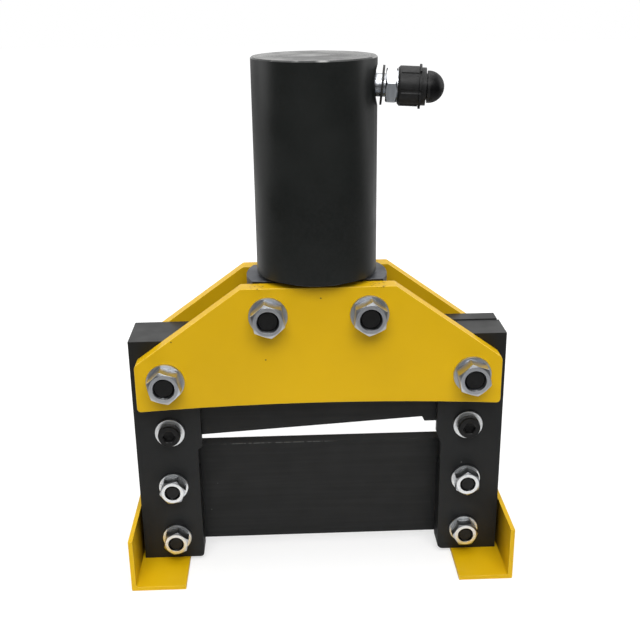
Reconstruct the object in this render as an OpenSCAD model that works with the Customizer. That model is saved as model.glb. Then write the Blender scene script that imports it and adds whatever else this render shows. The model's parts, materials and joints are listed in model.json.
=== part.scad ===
// Hydraulic busbar cutter. A single-acting cylinder pushes a slanted upper blade down past a
// fixed lower blade. Two posts carry the lower blade and guide the upper one, and two side
// plates join the posts to the block under the cylinder.
// Millimetres. X runs across the opening, Y from front to back and Z up. The origin lies on
// the floor at the middle of the footprint.

/* [Opening and blades] */
// Clear width between the posts, which takes the busbar
opening_w = 200; // [160:1:240]
// Clear height between the blades at the low end of the cutting edge
opening_gap = 15; // [10:1:20]
// Rise of the slanted cutting edge over the clear width
shear_rise = 12; // [6:1:16]
// Width of the slots that the two blades lie in
blade_slot = 12; // [10:0.5:14]
// Play on each face of the upper blade
blade_play = 0.05; // [0.02:0.01:0.2]
// Height of the lower blade
lower_blade_h = 90; // [80:1:110]
// Height of the lower blade's underside above the posts' undersides
lower_blade_lift = 6.8; // [4:0.2:10]
// Distance that the lower blade reaches into each post
lower_blade_grip = 38.5; // [36:0.5:42]
// Height of the upper blade at the low end of its cutting edge
upper_blade_h = 75; // [60:1:90]
// Distance that the upper blade reaches into each post's guide slot
upper_blade_grip = 10; // [8:0.5:10.5]
// Play at the ends of both blades
blade_end_play = 0.5; // [0.3:0.1:1]
// Length of the upper blade's level heel beyond the clear width's high end, inward
heel_inset = 13; // [8:1:20]
// Step from the slanted edge down to the heel
heel_drop = 4.2; // [2:0.1:6]

/* [Ram] */
// Travel of the ram from rest to its lowest place
stroke = 28; // [20:1:32]
// Diameter of the ram rod
rod_d = 36; // [30:1:37]
// Diameter of the cylinder bore
bore_d = 75; // [70:1:78]
// Height of the piston
piston_h = 34; // [30:1:40]
// Height of the crown that stops the piston at the top of the bore
crown_h = 2; // [1:0.5:4]
// Radial clearance of the piston
piston_play = 0.2; // [0.1:0.05:0.4]
// Radial clearance of seals, rings, the rod in its bush and other running fits
run_play = 0.05; // [0.03:0.01:0.1]
// Height of the blade holder
holder_h = 30; // [26:1:36]
// Depth of the blade slot in the holder
holder_slot_depth = 17; // [15:0.5:17]
// Gap between each end of the blade holder and the post beside it
holder_end_gap = 6.5; // [3:0.5:12]
// Gap between the holder and each side plate
holder_side_gap = 0.5; // [0.3:0.1:1]
// Gap between the holder and the block above it, at rest
holder_top_gap = 0.5; // [0.3:0.1:2]
// Diameter of the rod's spigot in the holder
rod_spigot_d = 24; // [20:1:28]
// Depth of the rod's spigot in the holder
rod_spigot_h = 11.5; // [10:0.5:12]
// Diameter of the cross pin through holder and spigot
rod_pin_d = 6; // [4:0.5:8]
// Diameter of the rod's spigot in the piston
piston_spigot_d = 26; // [20:1:30]
// Depth of the rod's spigot in the piston
piston_spigot_h = 8; // [6:1:12]

/* [Return spring] */
// Mean diameter of the return spring
spring_d = 58; // [54:1:62]
// Wire diameter of the return spring
spring_wire = 6; // [4:0.5:7]
// Turns of the return spring
spring_turns = 5; // [3:0.5:5]

/* [Cylinder] */
// Outer diameter of the cylinder
cyl_d = 94; // [92:1:104]
// Height of the cylinder
cyl_h = 163; // [158:1:200]
// Height of the port's centre line above the top of the bore
port_over_bore = 14; // [12:0.5:18]
// Chamfer of the cylinder's top edge
cyl_chamfer = 1; // [0.5:0.5:4]
// Diameter of the block's spigot in the cylinder
cyl_seat_d = 80; // [79:0.5:84]
// Depth of the block's spigot in the cylinder
cyl_seat_h = 22; // [16:1:26]
// Gap between the block's shoulder and the cylinder
cyl_gap = 3; // [0.5:0.5:6]

/* [Base block] */
// Diameter of the round block under the cylinder
block_d = 111; // [106:1:124]
// Height of the block up to its shoulder, without its spigot
block_h = 45; // [41:1:52]
// Outer diameter of the rod bush
bush_d = 41; // [40:0.5:41.5]
// Length of the rod bush
bush_h = 40; // [30:1:44]
// Outer diameter of the rod wiper
wiper_d = 41; // [40:0.5:41.5]
// Height of the rod wiper
wiper_h = 6; // [4:1:8]

/* [Posts] */
// Width of each post
post_w = 50; // [48:1:60]
// Depth of each post, which is also the gap between the side plates
post_d = 45; // [42:1:54]
// Gap between the level of the posts' tops and the block's underside
post_top_gap = 2.5; // [0:0.5:10]
// Thickness of the lip in front of the upper blade
lip_t = 7; // [5:0.5:8]
// Distance that the lip stands into the opening above the step
lip_reach = 3.5; // [2:0.5:5]
// Height of the step above the lower blade
step_lift = 5; // [3:0.5:8]
// Height of the slanted step on the left post
left_step_h = 2.5; // [1:0.5:12]
// Height of the slanted step on the right post
right_step_h = 9; // [1:0.5:12]
// Distance that the rear part of each post is set back from the opening
rear_relief = 4; // [2:0.5:8]
// Distance that the outer side of the right post's rear bar is set in
rear_bar_inset = 1.5; // [0.5:0.5:4]
// Height of the rear bar's top above the front block's top
rear_bar_rise = 1; // [0:0.5:2]
// Radius of the left post's lower inner corner
left_corner_r = 3; // [1:0.5:6]
// Radius of the right post's lower inner corner
right_corner_r = 5; // [1:0.5:8]
// Depth of the guide slot below the lowest place of the upper blade
slot_spare = 6; // [3:1:10]

/* [Side plates] */
// Thickness of the side plates
plate_t = 14; // [10:1:18]
// Height of the side plates
plate_h = 100; // [94:1:108]
// Distance of the plates' top edge below the block's top
plate_drop = 1.8; // [0.4:0.2:6]
// Height of the plates' upright ends
plate_end_h = 38.8; // [34:0.2:46]
// Distance of the plates' ends inward from the posts' outer sides
plate_end_inset = 5.7; // [3:0.1:8]
// Distance that the plates' level top edge reaches past the block on each side
plate_top_reach = 4; // [0:0.5:8]
// Height of the arch in the plates' lower edge
plate_arch = 4.3; // [2:0.1:8]
// Radius of the plates' lower and top corners
plate_corner_r = 3; // [1:0.5:5]
// Radius of the plates' shoulders, where the slanted edges start
plate_shoulder_r = 5; // [1:0.5:10]

/* [Feet] */
// Thickness of the feet, which are steel angles
foot_t = 3.5; // [3:0.5:6]
// Length of the feet from front to back
foot_l = 128; // [110:1:160]
// Width of the feet's level leg
foot_w = 44; // [36:1:48]
// Gap between each post and the upright leg beside it
foot_gap = 2.5; // [0.5:0.5:5]
// Height of the feet's upright leg
foot_h = 46; // [30:1:80]
// Radius of the fillet between the feet's legs
foot_fillet_r = 2; // [0.5:0.5:3]
// Radius of the feet's outer corner
foot_corner_r = 1; // [0.5:0.5:3]
// Distance of the foot screws in from the post's outer side
foot_screw_in = 12; // [8:1:14]
// Distance of the foot screws from the middle of the post's depth
foot_screw_y = 14; // [12:0.5:16]

/* [Fasteners] */
// Diameter of the plate bolts
plate_bolt_d = 16; // [14:1:18]
// Half distance between the two upper plate bolts
upper_bolt_x = 39; // [36:0.5:44]
// Height of the upper plate bolts above the block's underside
upper_bolt_up = 21.4; // [18:0.2:26]
// Distance of the outer plate bolts from the opening
outer_bolt_in = 20.6; // [20.2:0.2:26]
// Height of the outer plate bolts above the plates' lower corners
outer_bolt_up = 25.6; // [18:0.2:28]
// Diameter of the blade bolts and of the post screws
blade_bolt_d = 12; // [10:1:14]
// Distance of the blade bolts and the post screws from the opening
blade_bolt_in = 21.7; // [20:0.1:26]
// Height of the lower blade bolts above the lower blade's underside
low_bolt_up = 13.6; // [11:0.2:20]
// Height of the upper blade bolts above the lower blade's underside
high_bolt_up = 62.2; // [50:0.2:66]
// Height of the post screws above the lower blade
post_screw_up = 21.8; // [18:0.2:24]
// Length of the post screws under their heads
post_screw_l = 40; // [34:1:42]
// Diameter of the blade holder's screws
holder_screw_d = 8; // [6:1:8]
// Distance of the blade holder's screws from the middle
holder_screw_x = 60; // [40:1:70]
// Length of the blade holder's screws under their heads
holder_screw_l = 35; // [30:0.5:35]
// Diameter of the piston screw
piston_screw_d = 12; // [10:1:14]
// Length of the piston screw under its head
piston_screw_l = 45; // [35:1:60]
// Diameter of the foot screws
foot_screw_d = 6; // [5:1:8]
// Length of the foot screws
foot_screw_l = 16; // [12:1:20]
// Clearance of bolts in plain holes, on the diameter
hole_play = 1; // [0.4:0.1:1.6]
// Clearance of screws in threaded holes and nuts, on the diameter
thread_play = 0.2; // [0.1:0.05:0.3]

/* [Hydraulic coupler] */
// Height of the port's centre line above the cylinder's underside, taken back to its axis
port_up = 143.7; // [139:0.1:146]
// Turn of the port towards the front, in degrees
port_turn = 6; // [0:1:45]
// Slope of the port downwards, in degrees
port_slope = 2.5; // [0:0.5:8]
// Depth of the port's flat spot face
spot_depth = 1.5; // [1.2:0.1:3]
// Diameter of the spot face
spot_d = 30; // [28:1:34]
// Diameter of the coupler's thread in the port
port_thread_d = 17; // [14:1:18]
// Length of the thread in the port
port_thread_l = 12; // [8:1:13]
// Length of the coupler's bare neck outside the port
coupler_neck_l = 5.9; // [4:0.1:8]
// Diameter of the loose seal washer behind the hexagon
coupler_washer_d = 29; // [27:0.5:31]
// Thickness of the seal washer
coupler_washer_t = 1.6; // [1:0.1:2.5]
// Lean of the seal washer, which hangs loose on the neck, in degrees
coupler_washer_lean = 3; // [0:0.5:4]
// Width over the flats of the coupler's hexagon
coupler_af = 24; // [24:1:28]
// Length of the coupler's hexagon
coupler_hex_l = 8.5; // [8:0.5:14]
// Diameter of the coupler's nose
coupler_nose_d = 24; // [23:0.5:24]
// Length of the coupler's nose
coupler_nose_l = 16.7; // [15:0.1:22]
// Diameter of the passage through the coupler
coupler_bore_d = 12; // [11:0.5:13]
// Diameter of the oil passages in the cylinder
oil_d = 6; // [4:0.5:8]
// Travel of the poppet that opens the coupler
poppet_travel = 2.5; // [1.5:0.5:3]
// Diameter of the dust cap's sleeve
cap_d = 29.2; // [28:0.2:31]
// Number of grip grooves in the sleeve
cap_grooves = 7; // [5:1:12]
// Diameter of the dust cap's wide ring
cap_ring_d = 32.5; // [31:0.5:36]
// Diameter of the dust cap's small ring
cap_small_ring_d = 27.5; // [27.5:0.5:30]
// Radius of the dust cap's dome
cap_dome_r = 11.7; // [11:0.1:13]
// Clearance of the dust cap on the coupler, all round and at its ends
cap_play = 0.3; // [0.2:0.05:0.5]

/* [Hidden] */

// Fineness of round surfaces
$fn = 96;
// Steps of the small arcs in outlines
arc_steps = 6;
// Length by which a cut runs past a face
cut = 1;

// Depth positions, from the front at the low end to the rear
front_y = -post_d / 2;
rear_y = post_d / 2;
slot_front_y = front_y + lip_t;
shear_y = slot_front_y + blade_slot;
lower_back_y = shear_y + blade_slot;

// Positions across the opening
inner_x = opening_w / 2;
outer_x = inner_x + post_w;
lip_x = inner_x - lip_reach;
rear_x = inner_x + rear_relief;
upper_end_x = inner_x + upper_blade_grip;
lower_end_x = inner_x + lower_blade_grip;
outer_bolt_x = inner_x + outer_bolt_in;
blade_bolt_x = inner_x + blade_bolt_in;
holder_end_x = lip_x - holder_end_gap;
foot_x = outer_x + foot_gap + foot_t;

// Heights, worked up from the floor
post_z = foot_t;
lower_z = post_z + lower_blade_lift;
lower_top_z = lower_z + lower_blade_h;
edge_low_z = lower_top_z + opening_gap;
edge_slope = shear_rise / opening_w;
upper_top_z = edge_low_z + upper_blade_h;
holder_z = upper_top_z - holder_slot_depth;
holder_top_z = holder_z + holder_h;
block_z = holder_top_z + holder_top_gap;
block_top_z = block_z + block_h;
cyl_z = block_top_z + cyl_gap;
seat_z = cyl_z + cyl_seat_h;
cyl_top_z = cyl_z + cyl_h;
port_z = cyl_z + port_up;
bore_top_z = port_z - port_over_bore;
post_top_z = block_z - post_top_gap;
plate_top_z = block_top_z - plate_drop;
plate_z = plate_top_z - plate_h;
guide_z = edge_low_z - edge_slope * upper_blade_grip - stroke - slot_spare;
step_z = lower_top_z + step_lift;
heel_ramp = 2;

// Piston and rod
piston_d = bore_d - 2 * piston_play;
ring_d = bore_d - 2 * run_play;
crown_gap = 0.2;
crown_d = 30;
piston_top_z = bore_top_z - crown_gap - crown_h;
piston_z = piston_top_z - piston_h;
rod_pin_z = holder_top_z - rod_spigot_h / 2;
rod_pin_l = 40;
seal_h = 7;
seal_depth = 5;
wear_h = 9;
wear_depth = 2.5;
seal_land = 7;
seal_up = piston_h - seal_h - seal_land;
wear_up = 5;

// Return spring
spring_gap = 0.1;
spring_z = seat_z + spring_wire / 2;
spring_rise = piston_z - spring_gap - spring_wire / 2 - spring_z;
spring_pitch = spring_rise / spring_turns;
spring_rings = 16;
spring_sides = 8;

// Bolt heights
outer_bolt_z = plate_z + outer_bolt_up;
upper_bolt_z = block_z + upper_bolt_up;
low_bolt_z = lower_z + low_bolt_up;
high_bolt_z = lower_z + high_bolt_up;
post_screw_z = lower_top_z + post_screw_up;
holder_screw_z = upper_top_z - holder_slot_depth / 2;

// Fastener shapes, mostly as shares of the thread diameter, for M16 and then for M12
cap_head_share = 1.5;
socket_share = 0.86;
socket_depth_share = 0.5;
nut_af_share = [1.5, 1.5833];
nut_h_share = [0.79, 0.8333];
washer_share = [1.875, 2];
plate_nut_af = plate_bolt_d * nut_af_share[0];
plate_nut_h = plate_bolt_d * nut_h_share[0];
plate_washer_d = plate_bolt_d * washer_share[0];
plate_washer_t = 2.6;
blade_nut_af = blade_bolt_d * nut_af_share[1];
blade_nut_h = blade_bolt_d * nut_h_share[1];
blade_washer_d = blade_bolt_d * washer_share[1];
blade_washer_t = 2.5;
low_head_h = 7;
thread_recess = 2;
thread_chamfer = 1;
holder_head_d = holder_screw_d * 1.625;
holder_head_play = 0.5;
csk_angle_share = 0.55;
csk_socket_share = 0.75;
csk_socket_depth_share = 0.4;
csk_sink = 0.3;
hex_face_share = 0.97;
hex_chamfer_share = 0.62;
head_edge_share = 0.08;
socket_limit_share = 0.62;
piston_head_play = 1;
piston_head_sink = 1;

// Turn of each nut about its bolt, in degrees, as they were left when tightened
plate_nut_turns = [42, 41, 25, 41];
blade_nut_turns = [19, 8.5, 31, 2.5];

// Coupler positions along the port's centre line, from the cylinder's axis outwards
spot_s = cyl_d / 2 - spot_depth;
port_end_s = spot_s - port_thread_l;
washer_s = spot_s + coupler_neck_l;
hex_s = washer_s + coupler_washer_t;
nose_s = hex_s + coupler_hex_l;
nose_end_s = nose_s + coupler_nose_l;
oil_in_s = 24;
coupler_turn = 19;
washer_hole_play = 1;
washer_rest_gap = 0.9;
washer_rest_l = coupler_washer_d / 2 * sin(coupler_washer_lean) + washer_rest_gap;

// Dust cap, from its open end outwards
gasket_t = 1;
ring_t = 1.5;
small_ring_t = 2.5;
cap_core_wall = 1.4;
cap_neck_d = 19;
cap_shoulder_l = 0.9;
cap_chamfer = 1.6;
groove_d = 4;
groove_sink = 0.9;
groove_start = 2.4;
groove_turn = 23;
groove_sides = 32;
gasket_play = 1;
cap_bore_d = coupler_nose_d + 2 * cap_play;
cap_core_d = cap_bore_d + 2 * cap_core_wall;
cap_bore_end_s = nose_end_s + cap_play + gasket_t;
cap_s = nose_s + cap_play;
cap_end_wall = 0.5;
between_rings = 1;
before_ring = 0.5;
cap_neck_l = 2;
small_ring_s = cap_bore_end_s + cap_end_wall;
ring_s = small_ring_s - between_rings - ring_t;
sleeve_end_s = ring_s - before_ring;
dome_s = small_ring_s + small_ring_t + cap_neck_l;

// Inside of the coupler
insert_l = 4;
insert_bore_d = 5;
insert_in = 1;
insert_s = port_end_s + insert_in;
seat_l = 3;
seat_bore_d = 8.6;
poppet_stem_d = 4;
poppet_play = 0.6;
poppet_seat_gap = 0.3;
poppet_stem_grip = 2;
poppet_head_d = coupler_bore_d - poppet_play;
poppet_head_l = 4;
poppet_head_s = nose_end_s - seat_l - poppet_head_l - poppet_seat_gap;
poppet_nose_d = seat_bore_d - poppet_play;
poppet_stem_s = insert_s + insert_l - poppet_stem_grip;
poppet_wire = 1;
poppet_spring_play = 1.6;
poppet_spring_gap = 0.3;
poppet_spring_turns = 7;
poppet_spring_rings = 8;
poppet_spring_sides = 6;
poppet_spring_d = poppet_stem_d + poppet_wire + poppet_spring_play;

// Points along an arc in a plane, from one angle to another
function arc_points(centre, r, from_a, to_a, steps) =
    [for (i = [0:steps])
        let (a = from_a + (to_a - from_a) * i / steps)
        [centre[0] + r * cos(a), centre[1] + r * sin(a)]];

// Unit vector along v
function unit(v) = v / norm(v);

// Points of the arc that rounds the corner p of an outline that runs from a to p to b
function rounded(a, p, b, r, steps) =
    let (u = unit(a - p), v = unit(b - p), half = acos(u * v) / 2,
        centre = p + unit(u + v) * r / sin(half),
        first = p + u * r / tan(half) - centre, last = p + v * r / tan(half) - centre)
    arc_points(centre, r, atan2(first[1], first[0]), atan2(last[1], last[0]), steps);

// Height of the upper blade's cutting edge at a place across the opening
function edge_z(x) = edge_low_z + edge_slope * (x + inner_x);

// Radius of the circle that gives an arch of a certain span and height
function arch_radius(span, height) = (span * span / 4 + height * height) / (2 * height);

// Draws a front outline and gives it depth from y0 back to y1
module slab(y0, y1) {
    translate([0, y1, 0])
        rotate([90, 0, 0])
            linear_extrude(height = y1 - y0)
                children();
}

// A round bar or bore along Y, from y0 back to y1
module bar_y(x, z, d, y0, y1) {
    translate([x, y1, z])
        rotate([90, 0, 0])
            cylinder(d = d, h = y1 - y0);
}

// Puts what is drawn along +Z on an axis that points to the front at (x, y, z)
module facing_front(x, y, z, turn = 0) {
    translate([x, y, z])
        rotate([90, 0, 0])
            rotate([0, 0, turn])
                children();
}

// Puts what is drawn along +Z on an axis that points to the rear at (x, y, z)
module facing_rear(x, y, z) {
    translate([x, y, z])
        rotate([-90, 0, 0])
            children();
}

// Puts what is drawn along +Z on the port's centre line
module along_port() {
    translate([0, 0, port_z])
        rotate([0, 0, -port_turn])
            rotate([0, 90 + port_slope, 0])
                children();
}

// A ring or disc drawn along the port's centre line, from s0 out to s1
module port_disc(d, s0, s1) {
    translate([0, 0, s0])
        cylinder(d = d, h = s1 - s0);
}

// A hexagonal nut or hexagon with both ends chamfered, standing on z = 0
module hexagon(af, h) {
    corner_r = af / sqrt(3);
    flat_r = af / 2 * hex_face_share;
    chamfer = (corner_r - flat_r) * hex_chamfer_share;
    intersection() {
        cylinder(r = corner_r, h = h, $fn = 6);
        rotate_extrude()
            polygon([[0, 0], [flat_r, 0], [corner_r, chamfer],
                [corner_r, h - chamfer], [flat_r, h], [0, h]]);
    }
}

// A nut with its threaded hole, standing on z = 0
module nut(af, h, thread_d) {
    difference() {
        hexagon(af, h);
        translate([0, 0, -cut])
            cylinder(d = thread_d + thread_play, h = h + 2 * cut);
    }
}

// A plain washer, standing on z = 0
module washer(d, t, bolt_d) {
    difference() {
        cylinder(d = d, h = t);
        translate([0, 0, -cut])
            cylinder(d = bolt_d + hole_play, h = t + 2 * cut);
    }
}

// A socket head screw along Z: the head stands up from z = 0 and the shank hangs below
module socket_screw(d, shank_l, head_d, head_h) {
    edge = head_h * head_edge_share;
    socket_depth = min(d * socket_depth_share, head_h * socket_limit_share);
    difference() {
        union() {
            cylinder(d = head_d, h = head_h - edge);
            translate([0, 0, head_h - edge])
                cylinder(d1 = head_d, d2 = head_d - 2 * edge, h = edge);
            translate([0, 0, thread_chamfer - shank_l])
                cylinder(d = d, h = shank_l - thread_chamfer);
            translate([0, 0, -shank_l])
                cylinder(d1 = d - 2 * thread_chamfer, d2 = d, h = thread_chamfer);
        }
        translate([0, 0, head_h - socket_depth])
            cylinder(d = d * socket_share, h = socket_depth + cut, $fn = 6);
    }
}

// A socket head bolt whose thread ends in the nut on the front
module through_bolt(x, z, d, head_y, end_y) {
    facing_rear(x, head_y, z)
        socket_screw(d, head_y - end_y, d * cap_head_share, d);
}

// A coil of round wire about Z, from z = 0 up, as one swept tube
module coil(mean_d, wire_d, rise, turns, per_turn, sides) {
    rings = round(turns * per_turn);
    points = [for (i = [0:rings], k = [0:sides - 1])
        let (a = 360 * turns * i / rings, b = 360 * k / sides,
            r = mean_d / 2 + wire_d / 2 * cos(b))
        [r * cos(a), r * sin(a), rise * i / rings + wire_d / 2 * sin(b)]];
    walls = [for (i = [0:rings - 1], k = [0:sides - 1], half = [0:1])
        let (p = i * sides + k, q = i * sides + (k + 1) % sides)
        half == 0 ? [p, p + sides, q] : [q, p + sides, q + sides]];
    start_cap = [for (k = [1:sides - 2]) [0, k, k + 1]];
    last = rings * sides;
    end_cap = [for (k = [1:sides - 2]) [last, last + k + 1, last + k]];
    polyhedron(points = points, faces = concat(walls, start_cap, end_cap));
}

// Front outline of a right-hand post's front part, with its step and rounded lower corner
module post_front_outline(step_h, corner_r) {
    polygon(concat(
        arc_points([inner_x + corner_r, post_z + corner_r], corner_r, 180, 270, arc_steps),
        [[outer_x, post_z], [outer_x, post_top_z], [lip_x, post_top_z],
            [lip_x, step_z + step_h], [inner_x, step_z]]));
}

// Front outline of a right-hand post behind the upper blade
module post_rear_outline(outer = outer_x, top = post_top_z) {
    polygon([[rear_x, post_z], [outer, post_z], [outer, top], [rear_x, top]]);
}

// The guide slot of the upper blade and the pocket of the lower blade, as cuts. The pocket may
// run past the lower blade's back.
module blade_slots(past = 0) {
    slab(slot_front_y, shear_y)
        translate([0, guide_z])
            square([upper_end_x + blade_end_play, post_top_z - guide_z + cut]);
    slab(shear_y, lower_back_y + past)
        translate([0, lower_z])
            square([lower_end_x + blade_end_play, lower_blade_h]);
}

// Cuts for every bolt and screw that enters a right-hand post
module post_holes() {
    through = cut + post_d;
    bar_y(outer_bolt_x, outer_bolt_z, plate_bolt_d + hole_play, -through, through);
    for (z = [low_bolt_z, high_bolt_z])
        bar_y(blade_bolt_x, z, blade_bolt_d + hole_play, -through, through);
    bar_y(blade_bolt_x, post_screw_z, blade_bolt_d + thread_play,
        front_y - cut, front_y + post_screw_l + cut);
    for (y = [-foot_screw_y, foot_screw_y])
        translate([outer_x - foot_screw_in, y, -cut])
            cylinder(d = foot_screw_d + thread_play, h = foot_screw_l + 2 * cut);
}

// One piece with the right-hand outline, from the front to the rear
module left_post() {
    color("#2d2d2b")
        mirror([1, 0, 0])
            difference() {
                union() {
                    slab(front_y, shear_y)
                        post_front_outline(left_step_h, left_corner_r);
                    slab(shear_y, rear_y)
                        post_rear_outline();
                }
                blade_slots();
                post_holes();
            }
}

// The right post is split at the lower blade's back, and this is its front block
module right_post() {
    color("#2d2d2b")
        difference() {
            union() {
                slab(front_y, shear_y)
                    post_front_outline(right_step_h, right_corner_r);
                slab(shear_y, lower_back_y)
                    post_rear_outline();
            }
            blade_slots(cut);
            post_holes();
        }
}

// The flat bar that closes the right post behind the lower blade
module right_post_rear_bar() {
    color("#2a2a28")
        difference() {
            slab(lower_back_y, rear_y)
                post_rear_outline(outer_x - rear_bar_inset, post_top_z + rear_bar_rise);
            post_holes();
        }
}

// Flat bar held in both posts, with its cutting edge at the top front
module lower_blade() {
    color("#232322")
        difference() {
            slab(shear_y, lower_back_y)
                translate([-lower_end_x, lower_z])
                    square([2 * lower_end_x, lower_blade_h]);
            for (x = [-blade_bolt_x, blade_bolt_x], z = [low_bolt_z, high_bolt_z])
                bar_y(x, z, blade_bolt_d + hole_play, shear_y - cut, lower_back_y + cut);
        }
}

// Blade with a slanted cutting edge, and a level heel at its high end
module upper_blade() {
    heel_x = inner_x - heel_inset;
    slant_end_x = heel_x - heel_ramp;
    heel_z = edge_z(heel_x) - heel_drop;
    color("#20201f")
        difference() {
            slab(slot_front_y + blade_play, shear_y - blade_play)
                polygon([[-upper_end_x, edge_z(-upper_end_x)], [slant_end_x, edge_z(slant_end_x)],
                    [heel_x, heel_z], [upper_end_x, heel_z],
                    [upper_end_x, upper_top_z], [-upper_end_x, upper_top_z]]);
            for (x = [-holder_screw_x, holder_screw_x])
                bar_y(x, holder_screw_z, holder_screw_d + hole_play,
                    slot_front_y - cut, shear_y + cut);
        }
}

// Bar that joins the upper blade to the ram rod
module blade_holder() {
    side_y = rear_y - holder_side_gap;
    screw_head_y = side_y - holder_screw_d;
    color("#3a3a39")
        difference() {
            translate([-holder_end_x, -side_y, holder_z])
                cube([2 * holder_end_x, 2 * side_y, holder_h]);
            slab(slot_front_y, shear_y)
                translate([-holder_end_x - cut, holder_z - cut])
                    square([2 * (holder_end_x + cut), holder_slot_depth + cut]);
            translate([0, 0, holder_top_z - rod_spigot_h])
                cylinder(d = rod_spigot_d + thread_play, h = rod_spigot_h + cut);
            bar_y(0, rod_pin_z, rod_pin_d, -rod_pin_l / 2, rod_pin_l / 2);
            for (x = [-holder_screw_x, holder_screw_x]) {
                bar_y(x, holder_screw_z, holder_screw_d + thread_play,
                    screw_head_y - holder_screw_l - thread_play, screw_head_y + cut);
                bar_y(x, holder_screw_z, holder_head_d + holder_head_play,
                    screw_head_y, side_y + cut);
            }
        }
}

// Screws from the rear that clamp the upper blade in its holder
module holder_screws() {
    screw_head_y = rear_y - holder_side_gap - holder_screw_d;
    color("#1c1c1c")
        for (x = [-holder_screw_x, holder_screw_x])
            facing_rear(x, screw_head_y, holder_screw_z)
                socket_screw(holder_screw_d, holder_screw_l, holder_head_d, holder_screw_d);
}

// Cross pin that keeps the holder on the rod
module rod_pin() {
    color("#b8b8b8")
        bar_y(0, rod_pin_z, rod_pin_d, -rod_pin_l / 2, rod_pin_l / 2);
}

// Polished rod with a spigot at each end and a tapped top
module ram_rod() {
    color("#c9cbcc")
        difference() {
            union() {
                translate([0, 0, holder_top_z])
                    cylinder(d = rod_d, h = piston_z - holder_top_z);
                translate([0, 0, holder_top_z - rod_spigot_h])
                    cylinder(d = rod_spigot_d, h = rod_spigot_h);
                translate([0, 0, piston_z])
                    cylinder(d = piston_spigot_d, h = piston_spigot_h);
            }
            bar_y(0, rod_pin_z, rod_pin_d, -rod_d, rod_d);
            translate([0, 0, piston_seat_z() - piston_screw_l - cut])
                cylinder(d = piston_screw_d + thread_play, h = piston_screw_l + piston_h);
        }
}

// Height of the face that the piston screw's head bears on
function piston_seat_z() = piston_top_z + crown_h - piston_screw_d - piston_head_sink;

// Piston with grooves for its seal and wear ring, and a crown that stops it at the top
module piston() {
    head_d = piston_screw_d * cap_head_share + piston_head_play;
    color("#8d9092")
        difference() {
            union() {
                translate([0, 0, piston_z])
                    cylinder(d = piston_d, h = piston_h);
                translate([0, 0, piston_top_z])
                    cylinder(d = crown_d, h = crown_h);
            }
            ring_groove(piston_z + seal_up, seal_h, seal_depth);
            ring_groove(piston_z + wear_up, wear_h, wear_depth);
            translate([0, 0, piston_z - cut])
                cylinder(d = piston_spigot_d + thread_play, h = piston_spigot_h + cut);
            translate([0, 0, piston_z])
                cylinder(d = piston_screw_d + hole_play, h = piston_h);
            translate([0, 0, piston_seat_z()])
                cylinder(d = head_d, h = piston_h);
        }
}

// A groove cut into the piston's side
module ring_groove(z, h, depth) {
    difference() {
        translate([0, 0, z])
            cylinder(d = bore_d + 2 * cut, h = h);
        translate([0, 0, z - cut])
            cylinder(d = piston_d - 2 * depth, h = h + 2 * cut);
    }
}

// A ring that fills a groove in the piston's side
module groove_ring(z, h, depth) {
    difference() {
        translate([0, 0, z])
            cylinder(d = ring_d, h = h);
        translate([0, 0, z - cut])
            cylinder(d = piston_d - 2 * depth, h = h + 2 * cut);
    }
}

// Pressure seal of the piston
module piston_seal() {
    color("#1b3350")
        groove_ring(piston_z + seal_up, seal_h, seal_depth);
}

// Wear ring that guides the piston
module piston_wear_ring() {
    color("#7a5a34")
        groove_ring(piston_z + wear_up, wear_h, wear_depth);
}

// Screw that holds the piston on the rod
module piston_screw() {
    color("#1c1c1c")
        translate([0, 0, piston_seat_z()])
            socket_screw(piston_screw_d, piston_screw_l, piston_screw_d * cap_head_share,
                piston_screw_d);
}

// Spring that lifts the ram when the oil pressure is released
module return_spring() {
    color("#6b6d70")
        translate([0, 0, spring_z])
            coil(spring_d, spring_wire, spring_rise, spring_turns, spring_rings, spring_sides);
}

// Closed cylinder with its bore, its seat for the block and the oil port
module cylinder_body() {
    color("#2b2d2b")
        difference() {
            union() {
                translate([0, 0, cyl_z])
                    cylinder(d = cyl_d, h = cyl_h - cyl_chamfer);
                translate([0, 0, cyl_top_z - cyl_chamfer])
                    cylinder(d1 = cyl_d, d2 = cyl_d - 2 * cyl_chamfer, h = cyl_chamfer);
            }
            translate([0, 0, cyl_z - cut])
                cylinder(d = cyl_seat_d, h = cyl_seat_h + cut);
            translate([0, 0, seat_z - cut])
                cylinder(d = bore_d, h = bore_top_z - seat_z + cut);
            along_port() {
                port_disc(spot_d, spot_s, cyl_d);
                port_disc(port_thread_d + thread_play, port_end_s, spot_s + cut);
                port_disc(oil_d, oil_in_s, port_end_s + cut);
            }
            rotate([0, 0, -port_turn])
                translate([oil_in_s + oil_d / 2, 0, bore_top_z - cut])
                    cylinder(d = oil_d, h = port_z - oil_in_s * tan(port_slope) - bore_top_z + cut);
        }
}

// Round block with flats for the side plates, and the spigot that carries the cylinder
module base_block() {
    color("#3a3d3f")
        difference() {
            union() {
                intersection() {
                    translate([0, 0, block_z])
                        cylinder(d = block_d, h = block_h);
                    translate([-block_d, front_y, block_z])
                        cube([2 * block_d, post_d, block_h]);
                }
                translate([0, 0, block_top_z])
                    cylinder(d = cyl_seat_d, h = seat_z - block_top_z);
            }
            translate([0, 0, block_z - cut])
                cylinder(d = rod_d + hole_play, h = seat_z - block_z + 2 * cut);
            translate([0, 0, seat_z - bush_h])
                cylinder(d = bush_d, h = bush_h + cut);
            translate([0, 0, block_z - cut])
                cylinder(d = wiper_d, h = wiper_h + cut);
            for (x = [-upper_bolt_x, upper_bolt_x])
                bar_y(x, upper_bolt_z, plate_bolt_d + hole_play, -block_d, block_d);
        }
}

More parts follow.
